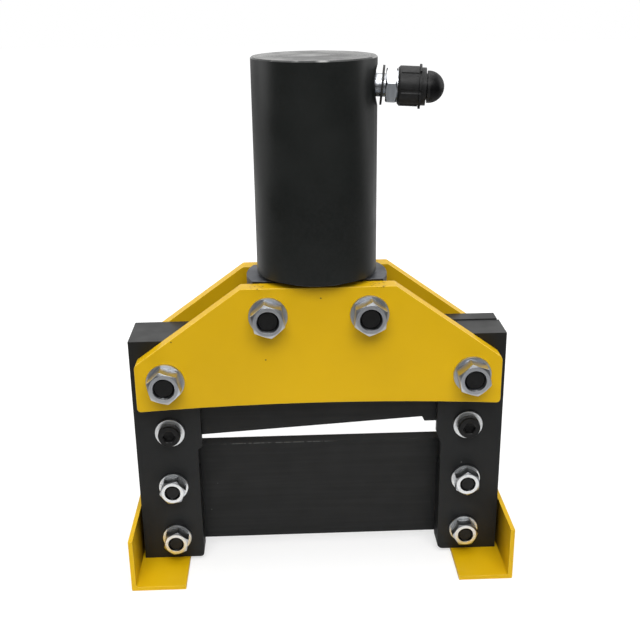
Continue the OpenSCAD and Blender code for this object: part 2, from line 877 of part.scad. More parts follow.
// Bronze bush that guides the rod
module rod_bush() {
    color("#a9824a")
        difference() {
            translate([0, 0, seat_z - bush_h])
                cylinder(d = bush_d, h = bush_h);
            translate([0, 0, seat_z - bush_h - cut])
                cylinder(d = rod_d + 2 * run_play, h = bush_h + 2 * cut);
        }
}

// Wiper ring that keeps dirt out of the bush
module rod_wiper() {
    color("#1e1e1e")
        difference() {
            translate([0, 0, block_z])
                cylinder(d = wiper_d, h = wiper_h);
            translate([0, 0, block_z - cut])
                cylinder(d = rod_d + 2 * run_play, h = wiper_h + 2 * cut);
        }
}

// Outline of a side plate: a broad trapezium with upright ends, rounded corners and an
// arched lower edge
module plate_outline() {
    end_x = outer_x - plate_end_inset;
    top_x = block_d / 2 + plate_top_reach;
    end_top_z = plate_z + plate_end_h;
    r = plate_corner_r;
    arch_r = arch_radius(2 * (end_x - r), plate_arch);
    shoulder = [end_x, end_top_z];
    top_corner = [top_x, plate_top_z];
    right_side = concat(
        arc_points([end_x - r, plate_z + r], r, 270, 360, arc_steps),
        rounded([end_x, plate_z], shoulder, top_corner, plate_shoulder_r, arc_steps),
        rounded(shoulder, top_corner, [0, plate_top_z], r, arc_steps));
    left_side = [for (i = [len(right_side) - 1:-1:0]) [-right_side[i][0], right_side[i][1]]];
    difference() {
        polygon(concat(right_side, left_side));
        translate([0, plate_z + plate_arch - arch_r])
            circle(r = arch_r, $fn = 720);
    }
}

// A side plate with its four bolt holes, from y0 back to y1
module side_plate(y0, y1) {
    difference() {
        slab(y0, y1)
            plate_outline();
        for (side = [-1, 1]) {
            bar_y(side * outer_bolt_x, outer_bolt_z, plate_bolt_d + hole_play, y0 - cut, y1 + cut);
            bar_y(side * upper_bolt_x, upper_bolt_z, plate_bolt_d + hole_play, y0 - cut, y1 + cut);
        }
    }
}

// Side plate that faces the viewer
module front_plate() {
    color("#d9a81b")
        side_plate(front_y - plate_t, front_y);
}

// Side plate at the back
module rear_plate() {
    color("#d9a81b")
        side_plate(rear_y, rear_y + plate_t);
}

// Section of the right-hand foot: a steel angle with a fillet inside and a tight outer corner
module foot_section() {
    inner_side = foot_x - foot_t;
    polygon(concat(
        arc_points([foot_x - foot_corner_r, foot_corner_r], foot_corner_r, 270, 360, arc_steps),
        [[foot_x, foot_h], [inner_side, foot_h]],
        arc_points([inner_side - foot_fillet_r, foot_t + foot_fillet_r], foot_fillet_r,
            360, 270, arc_steps),
        [[foot_x - foot_w, foot_t], [foot_x - foot_w, 0]]));
}

// A foot under the right post: a length of angle that reaches out at the front and the rear
module foot() {
    difference() {
        slab(-foot_l / 2, foot_l / 2)
            foot_section();
        foot_screw_places()
            foot_screw_shape(thread_play, cut);
    }
}

// Right-hand foot
module right_foot() {
    color("#deb019")
        foot();
}

// Left-hand foot
module left_foot() {
    color("#deb019")
        mirror([1, 0, 0])
            foot();
}

// The two places of a foot's screws, under the right post
module foot_screw_places() {
    for (y = [-foot_screw_y, foot_screw_y])
        translate([outer_x - foot_screw_in, y, 0])
            children();
}

// A countersunk screw that points up, its head flush with the foot's underside
module foot_screw_shape(play, below) {
    head_h = foot_screw_d * csk_angle_share;
    translate([0, 0, csk_sink])
        cylinder(d1 = 2 * foot_screw_d + play, d2 = foot_screw_d + play, h = head_h);
    translate([0, 0, csk_sink + head_h / 2])
        cylinder(d = foot_screw_d + play, h = foot_screw_l - head_h / 2);
    translate([0, 0, csk_sink - below])
        cylinder(d = 2 * foot_screw_d + play, h = below);
}

// Countersunk screws that hold the feet under the posts
module foot_screws() {
    color("#1c1c1c")
        for (side = [0, 1])
            mirror([side, 0, 0])
                foot_screw_places()
                    difference() {
                        foot_screw_shape(0, 0);
                        cylinder(d = foot_screw_d * csk_socket_share,
                            h = foot_screw_d * csk_socket_depth_share, $fn = 6);
                    }
}

// The plate bolts' places, from the left to the right
plate_bolt_places = [[-outer_bolt_x, outer_bolt_z], [-upper_bolt_x, upper_bolt_z],
    [upper_bolt_x, upper_bolt_z], [outer_bolt_x, outer_bolt_z]];

// The blade bolts' places: left low and high, then right high and low
blade_bolt_places = [[-blade_bolt_x, low_bolt_z], [-blade_bolt_x, high_bolt_z],
    [blade_bolt_x, high_bolt_z], [blade_bolt_x, low_bolt_z]];

// Bolts through both side plates, with their heads at the rear
module plate_bolts() {
    face_y = rear_y + plate_t;
    end_y = front_y - plate_t - plate_washer_t - plate_nut_h + thread_recess;
    color("#1f1f1f")
        for (p = plate_bolt_places)
            through_bolt(p[0], p[1], plate_bolt_d, face_y + plate_washer_t, end_y);
}

// Nuts on the front side plate
module plate_nuts() {
    color("#d2d4d3")
        for (i = [0:len(plate_bolt_places) - 1])
            facing_front(plate_bolt_places[i][0], front_y - plate_t - plate_washer_t,
                plate_bolt_places[i][1], plate_nut_turns[i])
                nut(plate_nut_af, plate_nut_h, plate_bolt_d);
}

// Washers under the plate bolts' nuts and heads
module plate_washers() {
    color("#c4c6c5")
        for (p = plate_bolt_places) {
            facing_front(p[0], front_y - plate_t, p[1])
                washer(plate_washer_d, plate_washer_t, plate_bolt_d);
            facing_rear(p[0], rear_y + plate_t, p[1])
                washer(plate_washer_d, plate_washer_t, plate_bolt_d);
        }
}

// Bolts that clamp the lower blade in the posts, with their heads at the rear
module blade_bolts() {
    end_y = front_y - blade_washer_t - blade_nut_h + thread_recess / 2;
    color("#1f1f1f")
        for (p = blade_bolt_places)
            through_bolt(p[0], p[1], blade_bolt_d, rear_y + blade_washer_t, end_y);
}

// Nuts of the blade bolts
module blade_nuts() {
    color("#d2d4d3")
        for (i = [0:len(blade_bolt_places) - 1])
            facing_front(blade_bolt_places[i][0], front_y - blade_washer_t,
                blade_bolt_places[i][1], blade_nut_turns[i])
                nut(blade_nut_af, blade_nut_h, blade_bolt_d);
}

// Washers under the blade bolts' nuts and heads
module blade_washers() {
    color("#c4c6c5")
        for (p = blade_bolt_places) {
            facing_front(p[0], front_y, p[1])
                washer(blade_washer_d, blade_washer_t, blade_bolt_d);
            facing_rear(p[0], rear_y, p[1])
                washer(blade_washer_d, blade_washer_t, blade_bolt_d);
        }
}

// Low-head screws above the lower blade, which hold the posts' parts together
module post_screws() {
    color("#1a1a1a")
        for (x = [-blade_bolt_x, blade_bolt_x])
            facing_front(x, front_y - blade_washer_t, post_screw_z)
                socket_screw(blade_bolt_d, post_screw_l, blade_bolt_d * cap_head_share,
                    low_head_h);
}

// Washers under the post screws
module post_screw_washers() {
    color("#c4c6c5")
        for (x = [-blade_bolt_x, blade_bolt_x])
            facing_front(x, front_y, post_screw_z)
                washer(blade_washer_d, blade_washer_t, blade_bolt_d);
}

// Coupler half: thread, neck, hexagon and nose, bored for the poppet
module coupler_body() {
    color("#cdd0d2")
        along_port()
            difference() {
                union() {
                    port_disc(port_thread_d, port_end_s, hex_s + cut);
                    translate([0, 0, hex_s])
                        rotate([0, 0, coupler_turn])
                            hexagon(coupler_af, coupler_hex_l);
                    port_disc(coupler_nose_d, nose_s - cut, nose_end_s);
                }
                port_disc(coupler_bore_d, insert_s, nose_end_s - seat_l);
                port_disc(oil_d, port_end_s - cut, insert_s + cut);
                port_disc(seat_bore_d, nose_end_s - seat_l - cut, nose_end_s + cut);
            }
}

// Loose seal washer on the coupler's neck, which leans with its top against the hexagon
module coupler_washer() {
    color("#1d1d1d")
        along_port()
            translate([0, 0, hex_s - washer_rest_l])
                rotate([0, coupler_washer_lean, 0])
                    difference() {
                        port_disc(coupler_washer_d, -coupler_washer_t, 0);
                        port_disc(port_thread_d + washer_hole_play, -coupler_washer_t - cut, cut);
                    }
}

// Bored disc at the bottom of the coupler, which carries the poppet's spring
module coupler_insert() {
    color("#9a9c9e")
        along_port()
            difference() {
                port_disc(coupler_bore_d, insert_s, insert_s + insert_l);
                port_disc(insert_bore_d, insert_s - cut, insert_s + insert_l + cut);
            }
}

// Poppet: a stem in the insert, a head against the seat, and a nose that is pushed to open
module poppet() {
    color("#b5b8ba")
        along_port() {
            port_disc(poppet_stem_d, poppet_stem_s, poppet_head_s + cut);
            port_disc(poppet_head_d, poppet_head_s, poppet_head_s + poppet_head_l);
            port_disc(poppet_nose_d, poppet_head_s + poppet_head_l - cut, nose_end_s);
        }
}

// Spring that closes the poppet, at the length that it has when the poppet is open
module poppet_spring() {
    from_s = insert_s + insert_l + poppet_wire / 2;
    to_s = poppet_head_s - poppet_travel - poppet_spring_gap - poppet_wire / 2;
    color("#8a8c8e")
        along_port()
            translate([0, 0, from_s])
                coil(poppet_spring_d, poppet_wire, to_s - from_s, poppet_spring_turns,
                    poppet_spring_rings, poppet_spring_sides);
}

// Dust cap: grooved sleeve, two thin rings and a domed end, hollow over the coupler's nose
module dust_cap() {
    groove_at = cap_d / 2 + groove_d / 2 - groove_sink;
    color("#191919")
        along_port()
            difference() {
                union() {
                    translate([0, 0, cap_s])
                        cylinder(d1 = cap_d - 2 * cap_chamfer, d2 = cap_d, h = cap_chamfer);
                    port_disc(cap_d, cap_s + cap_chamfer, sleeve_end_s);
                    port_disc(cap_core_d, sleeve_end_s - cut, small_ring_s);
                    port_disc(cap_ring_d, ring_s, ring_s + ring_t);
                    port_disc(cap_small_ring_d, small_ring_s, small_ring_s + small_ring_t);
                    port_disc(cap_neck_d, small_ring_s, dome_s);
                    intersection() {
                        translate([0, 0, dome_s])
                            sphere(r = cap_dome_r);
                        port_disc(cap_d, dome_s - cap_shoulder_l, dome_s + cap_d);
                    }
                }
                port_disc(cap_bore_d, cap_s - cut, cap_bore_end_s);
                for (i = [0:cap_grooves - 1])
                    rotate([0, 0, 360 * i / cap_grooves + groove_turn])
                        translate([groove_at, 0, cap_s + groove_start])
                            cylinder(d = groove_d, h = sleeve_end_s - cap_s, $fn = groove_sides);
            }
}

// Soft disc in the bottom of the dust cap
module cap_gasket() {
    color("#5a2a22")
        along_port()
            port_disc(cap_bore_d - gasket_play, cap_bore_end_s - gasket_t, cap_bore_end_s);
}

// Least gap between the turns of the return spring, at rest and pushed in
echo("return spring gap at rest", spring_pitch - spring_wire);
echo("return spring gap pushed in",
    (spring_rise - stroke) / spring_turns - spring_wire);

cylinder_body();
base_block();
rod_bush();
rod_wiper();
front_plate();
rear_plate();
left_post();
right_post();
right_post_rear_bar();
lower_blade();
left_foot();
right_foot();
plate_bolts();
plate_nuts();
plate_washers();
blade_bolts();
blade_nuts();
blade_washers();
post_screws();
post_screw_washers();
foot_screws();
coupler_body();
coupler_washer();
coupler_insert();
poppet();
poppet_spring();
dust_cap();
cap_gasket();
return_spring();
piston();
piston_seal();
piston_wear_ring();
piston_screw();
ram_rod();
rod_pin();
blade_holder();
upper_blade();
holder_screws();
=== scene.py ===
"""Looks of a hydraulic busbar cutter.

Finishes, broken edges, small machined detail, light and camera. The solids come from the
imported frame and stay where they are. Metres, Z up, X across the opening, Y to the rear.
"""

import json
import math

import bmesh
import bpy
from mathutils import Matrix, Vector


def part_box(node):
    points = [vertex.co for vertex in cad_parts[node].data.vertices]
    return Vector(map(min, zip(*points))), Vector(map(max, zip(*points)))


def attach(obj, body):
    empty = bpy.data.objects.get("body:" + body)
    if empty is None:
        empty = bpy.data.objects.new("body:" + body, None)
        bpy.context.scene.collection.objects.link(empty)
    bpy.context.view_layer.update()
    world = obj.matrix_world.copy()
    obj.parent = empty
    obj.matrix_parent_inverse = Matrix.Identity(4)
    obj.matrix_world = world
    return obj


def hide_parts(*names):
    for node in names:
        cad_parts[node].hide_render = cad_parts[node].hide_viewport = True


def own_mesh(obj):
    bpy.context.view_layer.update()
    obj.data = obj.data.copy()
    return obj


MM = 0.001

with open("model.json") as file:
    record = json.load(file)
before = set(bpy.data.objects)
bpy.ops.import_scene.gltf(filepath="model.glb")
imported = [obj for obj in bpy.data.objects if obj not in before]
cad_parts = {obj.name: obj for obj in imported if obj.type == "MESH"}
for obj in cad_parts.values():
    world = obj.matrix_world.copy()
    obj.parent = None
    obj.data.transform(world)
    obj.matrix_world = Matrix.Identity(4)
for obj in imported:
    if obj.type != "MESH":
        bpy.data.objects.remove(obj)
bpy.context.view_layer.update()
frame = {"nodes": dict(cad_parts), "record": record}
nodes = frame["nodes"]

# Places and sizes in millimetres, the same as in the part's own source

POST_FRONT_Y = -22.5
POST_REAR_Y = 22.5
PLATE_THICKNESS = 14.0
PLATE_BOLT_PLACES = ((-120.6, 172.6), (-39.0, 225.2), (39.0, 225.2), (120.6, 172.6))
BLADE_BOLT_PLACES = ((-121.7, 23.9), (-121.7, 72.5), (121.7, 72.5), (121.7, 23.9))
POST_SCREW_PLACES = ((-121.7, 122.1), (121.7, 122.1))
POST_SCREW_LENGTH = 40.0
POST_SCREW_HEAD_HEIGHT = 7.0
SPRING_FOOT_Z = 273.8
SPRING_LENGTH = 71.4
SPRING_RADIUS = 29.0
SPRING_WIRE_RADIUS = 3.0
SPRING_TURNS = 5

# Screw sizes in millimetres, and each nut's turn in degrees

M16 = {
    "diameter": 16.0,
    "pitch": 2.0,
    "head_height": 16.0,
    "thread_length": 24.0,
    "across_flats": 24.0,
    "nut_height": 12.64,
    "washer_thickness": 2.6,
    "bolt_end_recess": 2.0,
    "countersink_width": 0.6,
    "nut_turns": (42, 41, 25, 41),
    "nut_edge_width": 0.22,
    "bolt_edge_width": 0.25,
}
M12 = {
    "diameter": 12.0,
    "pitch": 1.75,
    "head_height": 12.0,
    "thread_length": 20.0,
    "across_flats": 19.0,
    "nut_height": 10.0,
    "washer_thickness": 2.5,
    "bolt_end_recess": 1.0,
    "countersink_width": 0.35,
    "nut_turns": (19, 8.5, 31, 2.5),
    "nut_edge_width": 0.2,
    "bolt_edge_width": 0.2,
}

# Camera of the photograph

CAMERA_PLACE = Vector((-0.0245, -0.7300, 0.4732))
CAMERA_YAW = math.radians(2.094)
CAMERA_PITCH = math.radians(19.978)
CAMERA_ROLL = math.radians(-0.694)
SENSOR_MM = 36.0
PHOTO_PX = 640
FOCAL_PX = 960.73


def make_camera():
    """The photograph's camera, from its place, its three angles and its focal length."""
    forward = Vector((
        math.sin(CAMERA_YAW) * math.cos(CAMERA_PITCH),
        math.cos(CAMERA_YAW) * math.cos(CAMERA_PITCH),
        -math.sin(CAMERA_PITCH),
    ))
    level = Vector((math.cos(CAMERA_YAW), -math.sin(CAMERA_YAW), 0))
    upright = level.cross(forward)
    right = math.cos(CAMERA_ROLL) * level + math.sin(CAMERA_ROLL) * upright
    up = -math.sin(CAMERA_ROLL) * level + math.cos(CAMERA_ROLL) * upright
    data = bpy.data.cameras.new("camera")
    data.sensor_width = SENSOR_MM
    data.lens = SENSOR_MM * FOCAL_PX / PHOTO_PX
    data.clip_start = 0.01
    data.clip_end = 50
    camera = bpy.data.objects.new("camera", data)
    turn = Matrix((right, up, -forward)).transposed().to_4x4()
    camera.matrix_world = Matrix.Translation(CAMERA_PLACE) @ turn
    bpy.context.scene.collection.objects.link(camera)
    bpy.context.scene.camera = camera


# Node trees

class Nodes:
    """A node tree under construction, with short ways to add nodes and join them."""

    def __init__(self, tree):
        self.tree = tree

    def node(self, kind):
        return self.tree.nodes.new(kind)

    def join(self, source, target):
        self.tree.links.new(source, target)

    def give(self, value, target):
        """Feeds a socket with a number or with another socket."""
        if isinstance(value, (int, float)):
            target.default_value = value
        else:
            self.join(value, target)

    def remap(self, value, low, high, to_low, to_high):
        """value between low and high, moved to the range to_low to to_high."""
        reach = self.node("ShaderNodeMapRange")
        reach.interpolation_type = "SMOOTHSTEP"
        reach.inputs["From Min"].default_value = low
        reach.inputs["From Max"].default_value = high
        reach.inputs["To Min"].default_value = to_low
        reach.inputs["To Max"].default_value = to_high
        self.join(value, reach.inputs["Value"])
        return reach.outputs["Result"]

    def rising(self, value, low, high):
        """0 where value is below low, 1 where it is above high, and a soft step between."""
        return self.remap(value, low, high, 0.0, 1.0)

    def falling(self, value, low, high):
        """1 where value is below low, 0 where it is above high, and a soft step between."""
        return self.remap(value, low, high, 1.0, 0.0)

    def within(self, value, rise, fall):
        """1 between a soft step up and a soft step down, each given by its two ends."""
        return self.times(self.rising(value, *rise), self.falling(value, *fall))

    def math(self, operation, first, second=0.0):
        """One sum of two values, each a socket or a number."""
        step = self.node("ShaderNodeMath")
        step.operation = operation
        self.give(first, step.inputs[0])
        self.give(second, step.inputs[1])
        return step.outputs[0]

    def times(self, first, *others):
        """The product of values, each a socket or a number."""
        product = first
        for value in others:
            product = self.math("MULTIPLY", product, value)
        return product

    def absolute(self, value):
        """A value without its sign."""
        return self.math("ABSOLUTE", value)

    def mixed(self, factor, first, second):
        """A colour between first and second, each a socket or three numbers."""
        mix = self.node("ShaderNodeMix")
        mix.data_type = "RGBA"
        self.join(factor, next(s for s in mix.inputs if s.enabled and s.type == "VALUE"))
        ends = [s for s in mix.inputs if s.type == "RGBA"]
        for end, value in zip(ends, (first, second)):
            if isinstance(value, tuple):
                end.default_value = (*value, 1)
            else:
                self.join(value, end)
        return next(s for s in mix.outputs if s.type == "RGBA")

    def blended(self, factor, first, second):
        """A value between first and second, each a socket or a number."""
        mix = self.node("ShaderNodeMix")
        mix.data_type = "FLOAT"
        self.join(factor, mix.inputs["Factor"])
        self.give(first, mix.inputs["A"])
        self.give(second, mix.inputs["B"])
        return mix.outputs["Result"]

    def part(self, vector, axis):
        """The X, Y or Z of a vector."""
        split = self.node("ShaderNodeSeparateXYZ")
        self.join(vector, split.inputs[0])
        return split.outputs[axis]

    def length(self, vector):
        """How long a vector is."""
        measure = self.node("ShaderNodeVectorMath")
        measure.operation = "LENGTH"
        self.join(vector, measure.inputs[0])
        return measure.outputs["Value"]


# Light

LAMPS_AIM_AT = Vector((0, 0, 0.2))

# World strengths: a level fill for matt surfaces, and what metal mirrors in front and behind

WORLD_FILL = 0.25
WORLD_FRONT = 0.10
WORLD_BACK = 1.0
WORLD_STEP_Y = (-0.30, 0.60)

# Floor: places in metres, and the tones at the start and the end of each soft step

FLOOR_HALF_SIDE = 6.0
FLOOR_SEEN = 0.45
FLOOR_NEAR = (0.14, 0.45, 0.80, 0.33)
FLOOR_FAR = (0.68, 1.00, 1.0, 0.12)
FLOOR_BEHIND = (0.0, 0.90, 0.0, 0.80)
FLOOR_GLOW = (0.25, 1.0, 0.62, 0.95)


def area_lamp(name, place, size, power, shine):
    """A soft rectangular lamp that points at the object. shine is its share in reflections."""
    data = bpy.data.lights.new(name, "AREA")
    data.shape = "RECTANGLE"
    data.size, data.size_y = size
    data.energy = power
    data.specular_factor = shine
    lamp = bpy.data.objects.new(name, data)
    lamp.location = place
    lamp.rotation_mode = "QUATERNION"
    lamp.rotation_quaternion = (LAMPS_AIM_AT - Vector(place)).to_track_quat("-Z", "Y")
    bpy.context.scene.collection.objects.link(lamp)


def make_lamps():
    """One broad lamp overhead, one high in front and a weak one at each side."""
    area_lamp("overhead", (0.0, 0.1, 1.5), size=(1.4, 1.2), power=14, shine=0.4)
    area_lamp("front", (0.0, -1.3, 1.5), size=(1.6, 0.9), power=27, shine=0.22)
    for name, x in (("left_side", -1.5), ("right_side", 1.5)):
        area_lamp(name, (x, 0.3, 0.8), size=(0.8, 1.2), power=5, shine=0.2)


def make_world():
    """White for the camera, a level fill for matt surfaces, and darker in front for metal."""
    world = bpy.data.worlds.new("studio")
    world.use_nodes = True
    bpy.context.scene.world = world
    world.node_tree.nodes.clear()
    sky = Nodes(world.node_tree)
    rays = sky.node("ShaderNodeLightPath").outputs
    direction = sky.node("ShaderNodeTexCoord").outputs["Generated"]
    mirrored = sky.remap(sky.part(direction, "Y"), *WORLD_STEP_Y, WORLD_FRONT, WORLD_BACK)
    shiny = sky.math("MAXIMUM", rays["Is Glossy Ray"], rays["Is Transmission Ray"])
    seen = sky.blended(shiny, WORLD_FILL, mirrored)
    light = sky.node("ShaderNodeBackground")
    light.inputs["Color"].default_value = (1, 1, 1, 1)
    sky.join(sky.blended(rays["Is Camera Ray"], seen, 1.0), light.inputs["Strength"])
    out = sky.node("ShaderNodeOutputWorld")
    sky.join(light.outputs[0], out.inputs["Surface"])


def floor_white():
    """White to the camera but for the object's shadow, and duller far off in reflections."""
    material = bpy.data.materials.new("floor_white")
    material.use_nodes = True
    material.node_tree.nodes.clear()
    paint = Nodes(material.node_tree)
    place = paint.node("ShaderNodeTexCoord").outputs["Object"]
    distance = paint.length(place)
    to_camera = paint.node("ShaderNodeLightPath").outputs["Is Camera Ray"]
    around = paint.times(paint.remap(distance, *FLOOR_NEAR), paint.remap(distance, *FLOOR_FAR))
    pale = paint.math("MAXIMUM", around, paint.remap(paint.part(place, "Y"), *FLOOR_BEHIND))
    matt = paint.node("ShaderNodeBsdfDiffuse")
    paint.join(paint.blended(to_camera, pale, FLOOR_SEEN), matt.inputs["Color"])
    glow = paint.node("ShaderNodeEmission")
    lit = paint.times(paint.remap(distance, *FLOOR_GLOW), to_camera)
    paint.join(lit, glow.inputs["Strength"])
    both = paint.node("ShaderNodeAddShader")
    paint.join(matt.outputs[0], both.inputs[0])
    paint.join(glow.outputs[0], both.inputs[1])
    out = paint.node("ShaderNodeOutputMaterial")
    paint.join(both.outputs[0], out.inputs["Surface"])
    return material


def make_floor():
    """The plain pale floor that the cutter stands on, which is no part of it."""
    half = FLOOR_HALF_SIDE
    mesh = bpy.data.meshes.new("floor")
    corners = [(-half, -half, 0), (half, -half, 0), (half, half, 0), (-half, half, 0)]
    mesh.from_pydata(corners, [], [(0, 1, 2, 3)])
    mesh.materials.append(floor_white())
    floor = bpy.data.objects.new("floor", mesh)
    bpy.context.scene.collection.objects.link(floor)


# Materials

NOISE_MIDDLE = (0.3, 0.7)
SPOT_CORE_SHARE = 0.55


class Look(Nodes):
    """A material under construction: one Principled shader and short ways to feed it."""

    def __init__(self, name, color, roughness, metallic=0.0, specular=0.5):
        self.material = bpy.data.materials.new(name)
        self.material.use_nodes = True
        super().__init__(self.material.node_tree)
        self.shader = self.tree.nodes["Principled BSDF"]
        self.shader.inputs["Base Color"].default_value = (*color, 1)
        self.shader.inputs["Roughness"].default_value = roughness
        self.shader.inputs["Metallic"].default_value = metallic
        self.shader.inputs["Specular IOR Level"].default_value = specular
        self.place = self.node("ShaderNodeTexCoord").outputs["Object"]
        self.height = None

    def stretched(self, stretch):
        """The object's coordinates, scaled along each axis."""
        mapping = self.node("ShaderNodeMapping")
        mapping.inputs["Scale"].default_value = stretch
        self.join(self.place, mapping.inputs["Vector"])
        return mapping.outputs["Vector"]

    def axis(self, name):
        """One of the object's coordinates, in metres."""
        return self.part(self.place, name)

    def facing(self, name):
        """How far the surface's own normal points along one axis, from -1 to 1."""
        return self.part(self.node("ShaderNodeNewGeometry").outputs["Normal"], name)

    def noise(self, scale, detail, roughness=0.5, stretch=(1, 1, 1)):
        """Noise from 0 to 1 with so many features per metre."""
        texture = self.node("ShaderNodeTexNoise")
        texture.inputs["Scale"].default_value = scale
        texture.inputs["Detail"].default_value = detail
        texture.inputs["Roughness"].default_value = roughness
        self.join(self.stretched(stretch), texture.inputs["Vector"])
        return texture.outputs["Fac"]

    def clouds(self, scale, detail, roughness=0.5):
        """Noise with more contrast, from 0 to 1."""
        return self.rising(self.noise(scale, detail, roughness), *NOISE_MIDDLE)

    def rings(self, scale):
        """Noise from 0 to 1 that changes only away from the Z axis, as turning marks do."""
        texture = self.node("ShaderNodeTexNoise")
        texture.noise_dimensions = "1D"
        texture.inputs["Scale"].default_value = scale
        texture.inputs["Detail"].default_value = 3.0
        self.join(self.length(self.stretched((1, 1, 0))), texture.inputs["W"])
        return texture.outputs["Fac"]

    def spots(self, per_metre, size, share):
        """1 inside rare small spots and 0 elsewhere.

        size is a spot's size as a share of a cell, and share is how many cells have one.
        """
        cells = self.node("ShaderNodeTexVoronoi")
        cells.inputs["Scale"].default_value = per_metre
        self.join(self.place, cells.inputs["Vector"])
        near = self.falling(cells.outputs["Distance"], size * SPOT_CORE_SHARE, size)
        split = self.node("ShaderNodeSeparateColor")
        self.join(cells.outputs["Color"], split.inputs[0])
        chosen = self.math("LESS_THAN", split.outputs[0], share)
        return self.times(near, chosen)

    def color(self, socket):
        self.join(socket, self.shader.inputs["Base Color"])

    def roughness(self, socket):
        self.join(socket, self.shader.inputs["Roughness"])

    def cloudy_roughness(self, scale, detail, smooth, rough):
        """Roughness that changes between two values in soft clouds."""
        self.roughness(self.remap(self.noise(scale, detail), *NOISE_MIDDLE, smooth, rough))

    def bump(self, value, depth_mm, strength):
        """Raises the surface by value times a depth. Further calls add to the first."""
        step = self.node("ShaderNodeBump")
        step.inputs["Strength"].default_value = strength
        step.inputs["Distance"].default_value = depth_mm * MM
        self.join(value, step.inputs["Height"])
        if self.height is not None:
            self.join(self.height, step.inputs["Normal"])
        self.height = step.outputs["Normal"]
        self.join(self.height, self.shader.inputs["Normal"])


# Colours of the yellow paint with its painted shade and painted edge highlight,
# and of the pale specks on black steel

YELLOW = (0.745, 0.452, 0.002)
YELLOW_DEEP = (0.69, 0.416, 0.002)
YELLOW_EDGE_HIGHLIGHT = (0.95, 0.66, 0.10)
YELLOW_INSIDE_SHADE = (0.58, 0.345, 0.002)
YELLOW_SHADE_BY_POST = (0.12, 0.07, 0.001)
SPECK_BROWN = (0.16, 0.10, 0.01)
CHIP_BROWN = (0.32, 0.18, 0.01)
PALE_SPECK = (0.25, 0.25, 0.24)

# Soft steps in height, in metres

ABOVE_FEET_Z = (0.05, 0.055)
BELOW_PLATE_NUTS_Z = (0.14, 0.15)
ABOVE_PLATE_NUTS_Z = (0.34, 0.35)
BELOW_COUPLER_Z = (0.36, 0.37)

# Soft steps across and from front to rear, in metres

FOOT_INNER_SIDE_X = (-0.14, -0.10)
FOOT_SHADE_Y = (0.015, 0.062)
CHIPS_FROM_X = (0.036, 0.040)
CHIPS_TO_X = (0.050, 0.054)
EDGE_LINE_FROM_X = (-0.085, -0.070)
EDGE_LINE_TO_X = (0.0, 0.015)
BLADE_LEFT_END_X = (-0.088, -0.078)
GLINT_X = 0.0045
GLINT_HALF_X = (0.0005, 0.006)
GLINT_Y = (-0.03, -0.02)

# Soft steps in how far a surface faces along an axis

PLATE_TO_FRONT = (-0.97, -0.8)
BLOCK_SHADE_FACING = (-0.99, -0.92)
NUT_TO_FRONT = (-0.97, -0.85)
CHAMFER_TO_FRONT = (-0.75, -0.65)
CHAMFER_UPWARD = (0.3, 0.45)
NUT_UPWARD = (0.3, 0.5)
COUPLER_DOWNWARD = (-0.5, -0.1)
PLATE_EDGE_FROM = (0.25, 0.5)
PLATE_EDGE_TO = (0.90, 0.97)
CYLINDER_RIM_FROM = (0.15, 0.35)
CYLINDER_RIM_TO = (0.8, 0.95)
CYLINDER_TOP = (0.75, 0.95)
STEEL_TOP = (0.7, 0.95)


def rear_plate_inside_shade(look):
    """1 where painted shade falls on the rear plate's inner face, just behind the posts."""
    behind_posts = look.rising(look.axis("Y"), (POST_REAR_Y - 1.5) * MM, (POST_REAR_Y - 0.5) * MM)
    return look.times(look.falling(look.facing("Y"), *PLATE_TO_FRONT), behind_posts)


def foot_shade_by_post(look):
    """1 where painted shade falls on the inner side of a foot's upright leg beside its post, and
    less towards its ends.
    """
    outward = look.times(look.facing("X"), look.axis("X"))
    inner_side = look.falling(outward, *FOOT_INNER_SIDE_X)
    on_foot = look.falling(look.axis("Z"), *ABOVE_FEET_Z)
    near_post = look.falling(look.absolute(look.axis("Y")), *FOOT_SHADE_Y)
    return look.times(inner_side, on_foot, near_post)


def chips_by_cylinder(look):
    """1 in the chips along the plates' top edge beside the cylinder."""
    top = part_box("front_plate")[1][2]
    beside = look.within(look.absolute(look.axis("X")), CHIPS_FROM_X, CHIPS_TO_X)
    at_top = look.rising(look.axis("Z"), top - 2.0 * MM, top - 0.5 * MM)
    ragged = look.rising(look.noise(420, detail=3, roughness=0.6), 0.56, 0.62)
    return look.times(ragged, beside, at_top)


def yellow_paint():
    """Powder-coated yellow with a fine orange peel, faint clouds and specks of dirt.

    It has painted shade on the rear plate's inside and on the feet beside the posts, a painted
    highlight on rounded edges, and chips at the plates' top beside the cylinder.
    """
    look = Look("yellow_paint", YELLOW, roughness=0.42, specular=0.26)
    paint = look.mixed(look.rising(look.noise(9, detail=4), 0.35, 0.7), YELLOW, YELLOW_DEEP)
    # painted shade: the rear plate's inner face behind the posts is darker
    inside = look.mixed(rear_plate_inside_shade(look), paint, YELLOW_INSIDE_SHADE)
    # painted shade: the feet's upright legs are dark beside the posts
    shaded = look.mixed(foot_shade_by_post(look), inside, YELLOW_SHADE_BY_POST)
    specked = look.mixed(look.spots(70, size=0.06, share=0.13), shaded, SPECK_BROWN)
    # painted highlight: rounded edges that face partly front or rear are lighter
    on_edge = look.within(look.absolute(look.facing("Y")), PLATE_EDGE_FROM, PLATE_EDGE_TO)
    edge_highlighted = look.mixed(on_edge, specked, YELLOW_EDGE_HIGHLIGHT)
    look.color(look.mixed(chips_by_cylinder(look), edge_highlighted, CHIP_BROWN))
    look.cloudy_roughness(60, detail=3, smooth=0.38, rough=0.50)
    look.bump(look.noise(420, detail=2), depth_mm=0.06, strength=0.35)
    look.bump(look.noise(60, detail=2), depth_mm=0.12, strength=0.25)
    return look.material


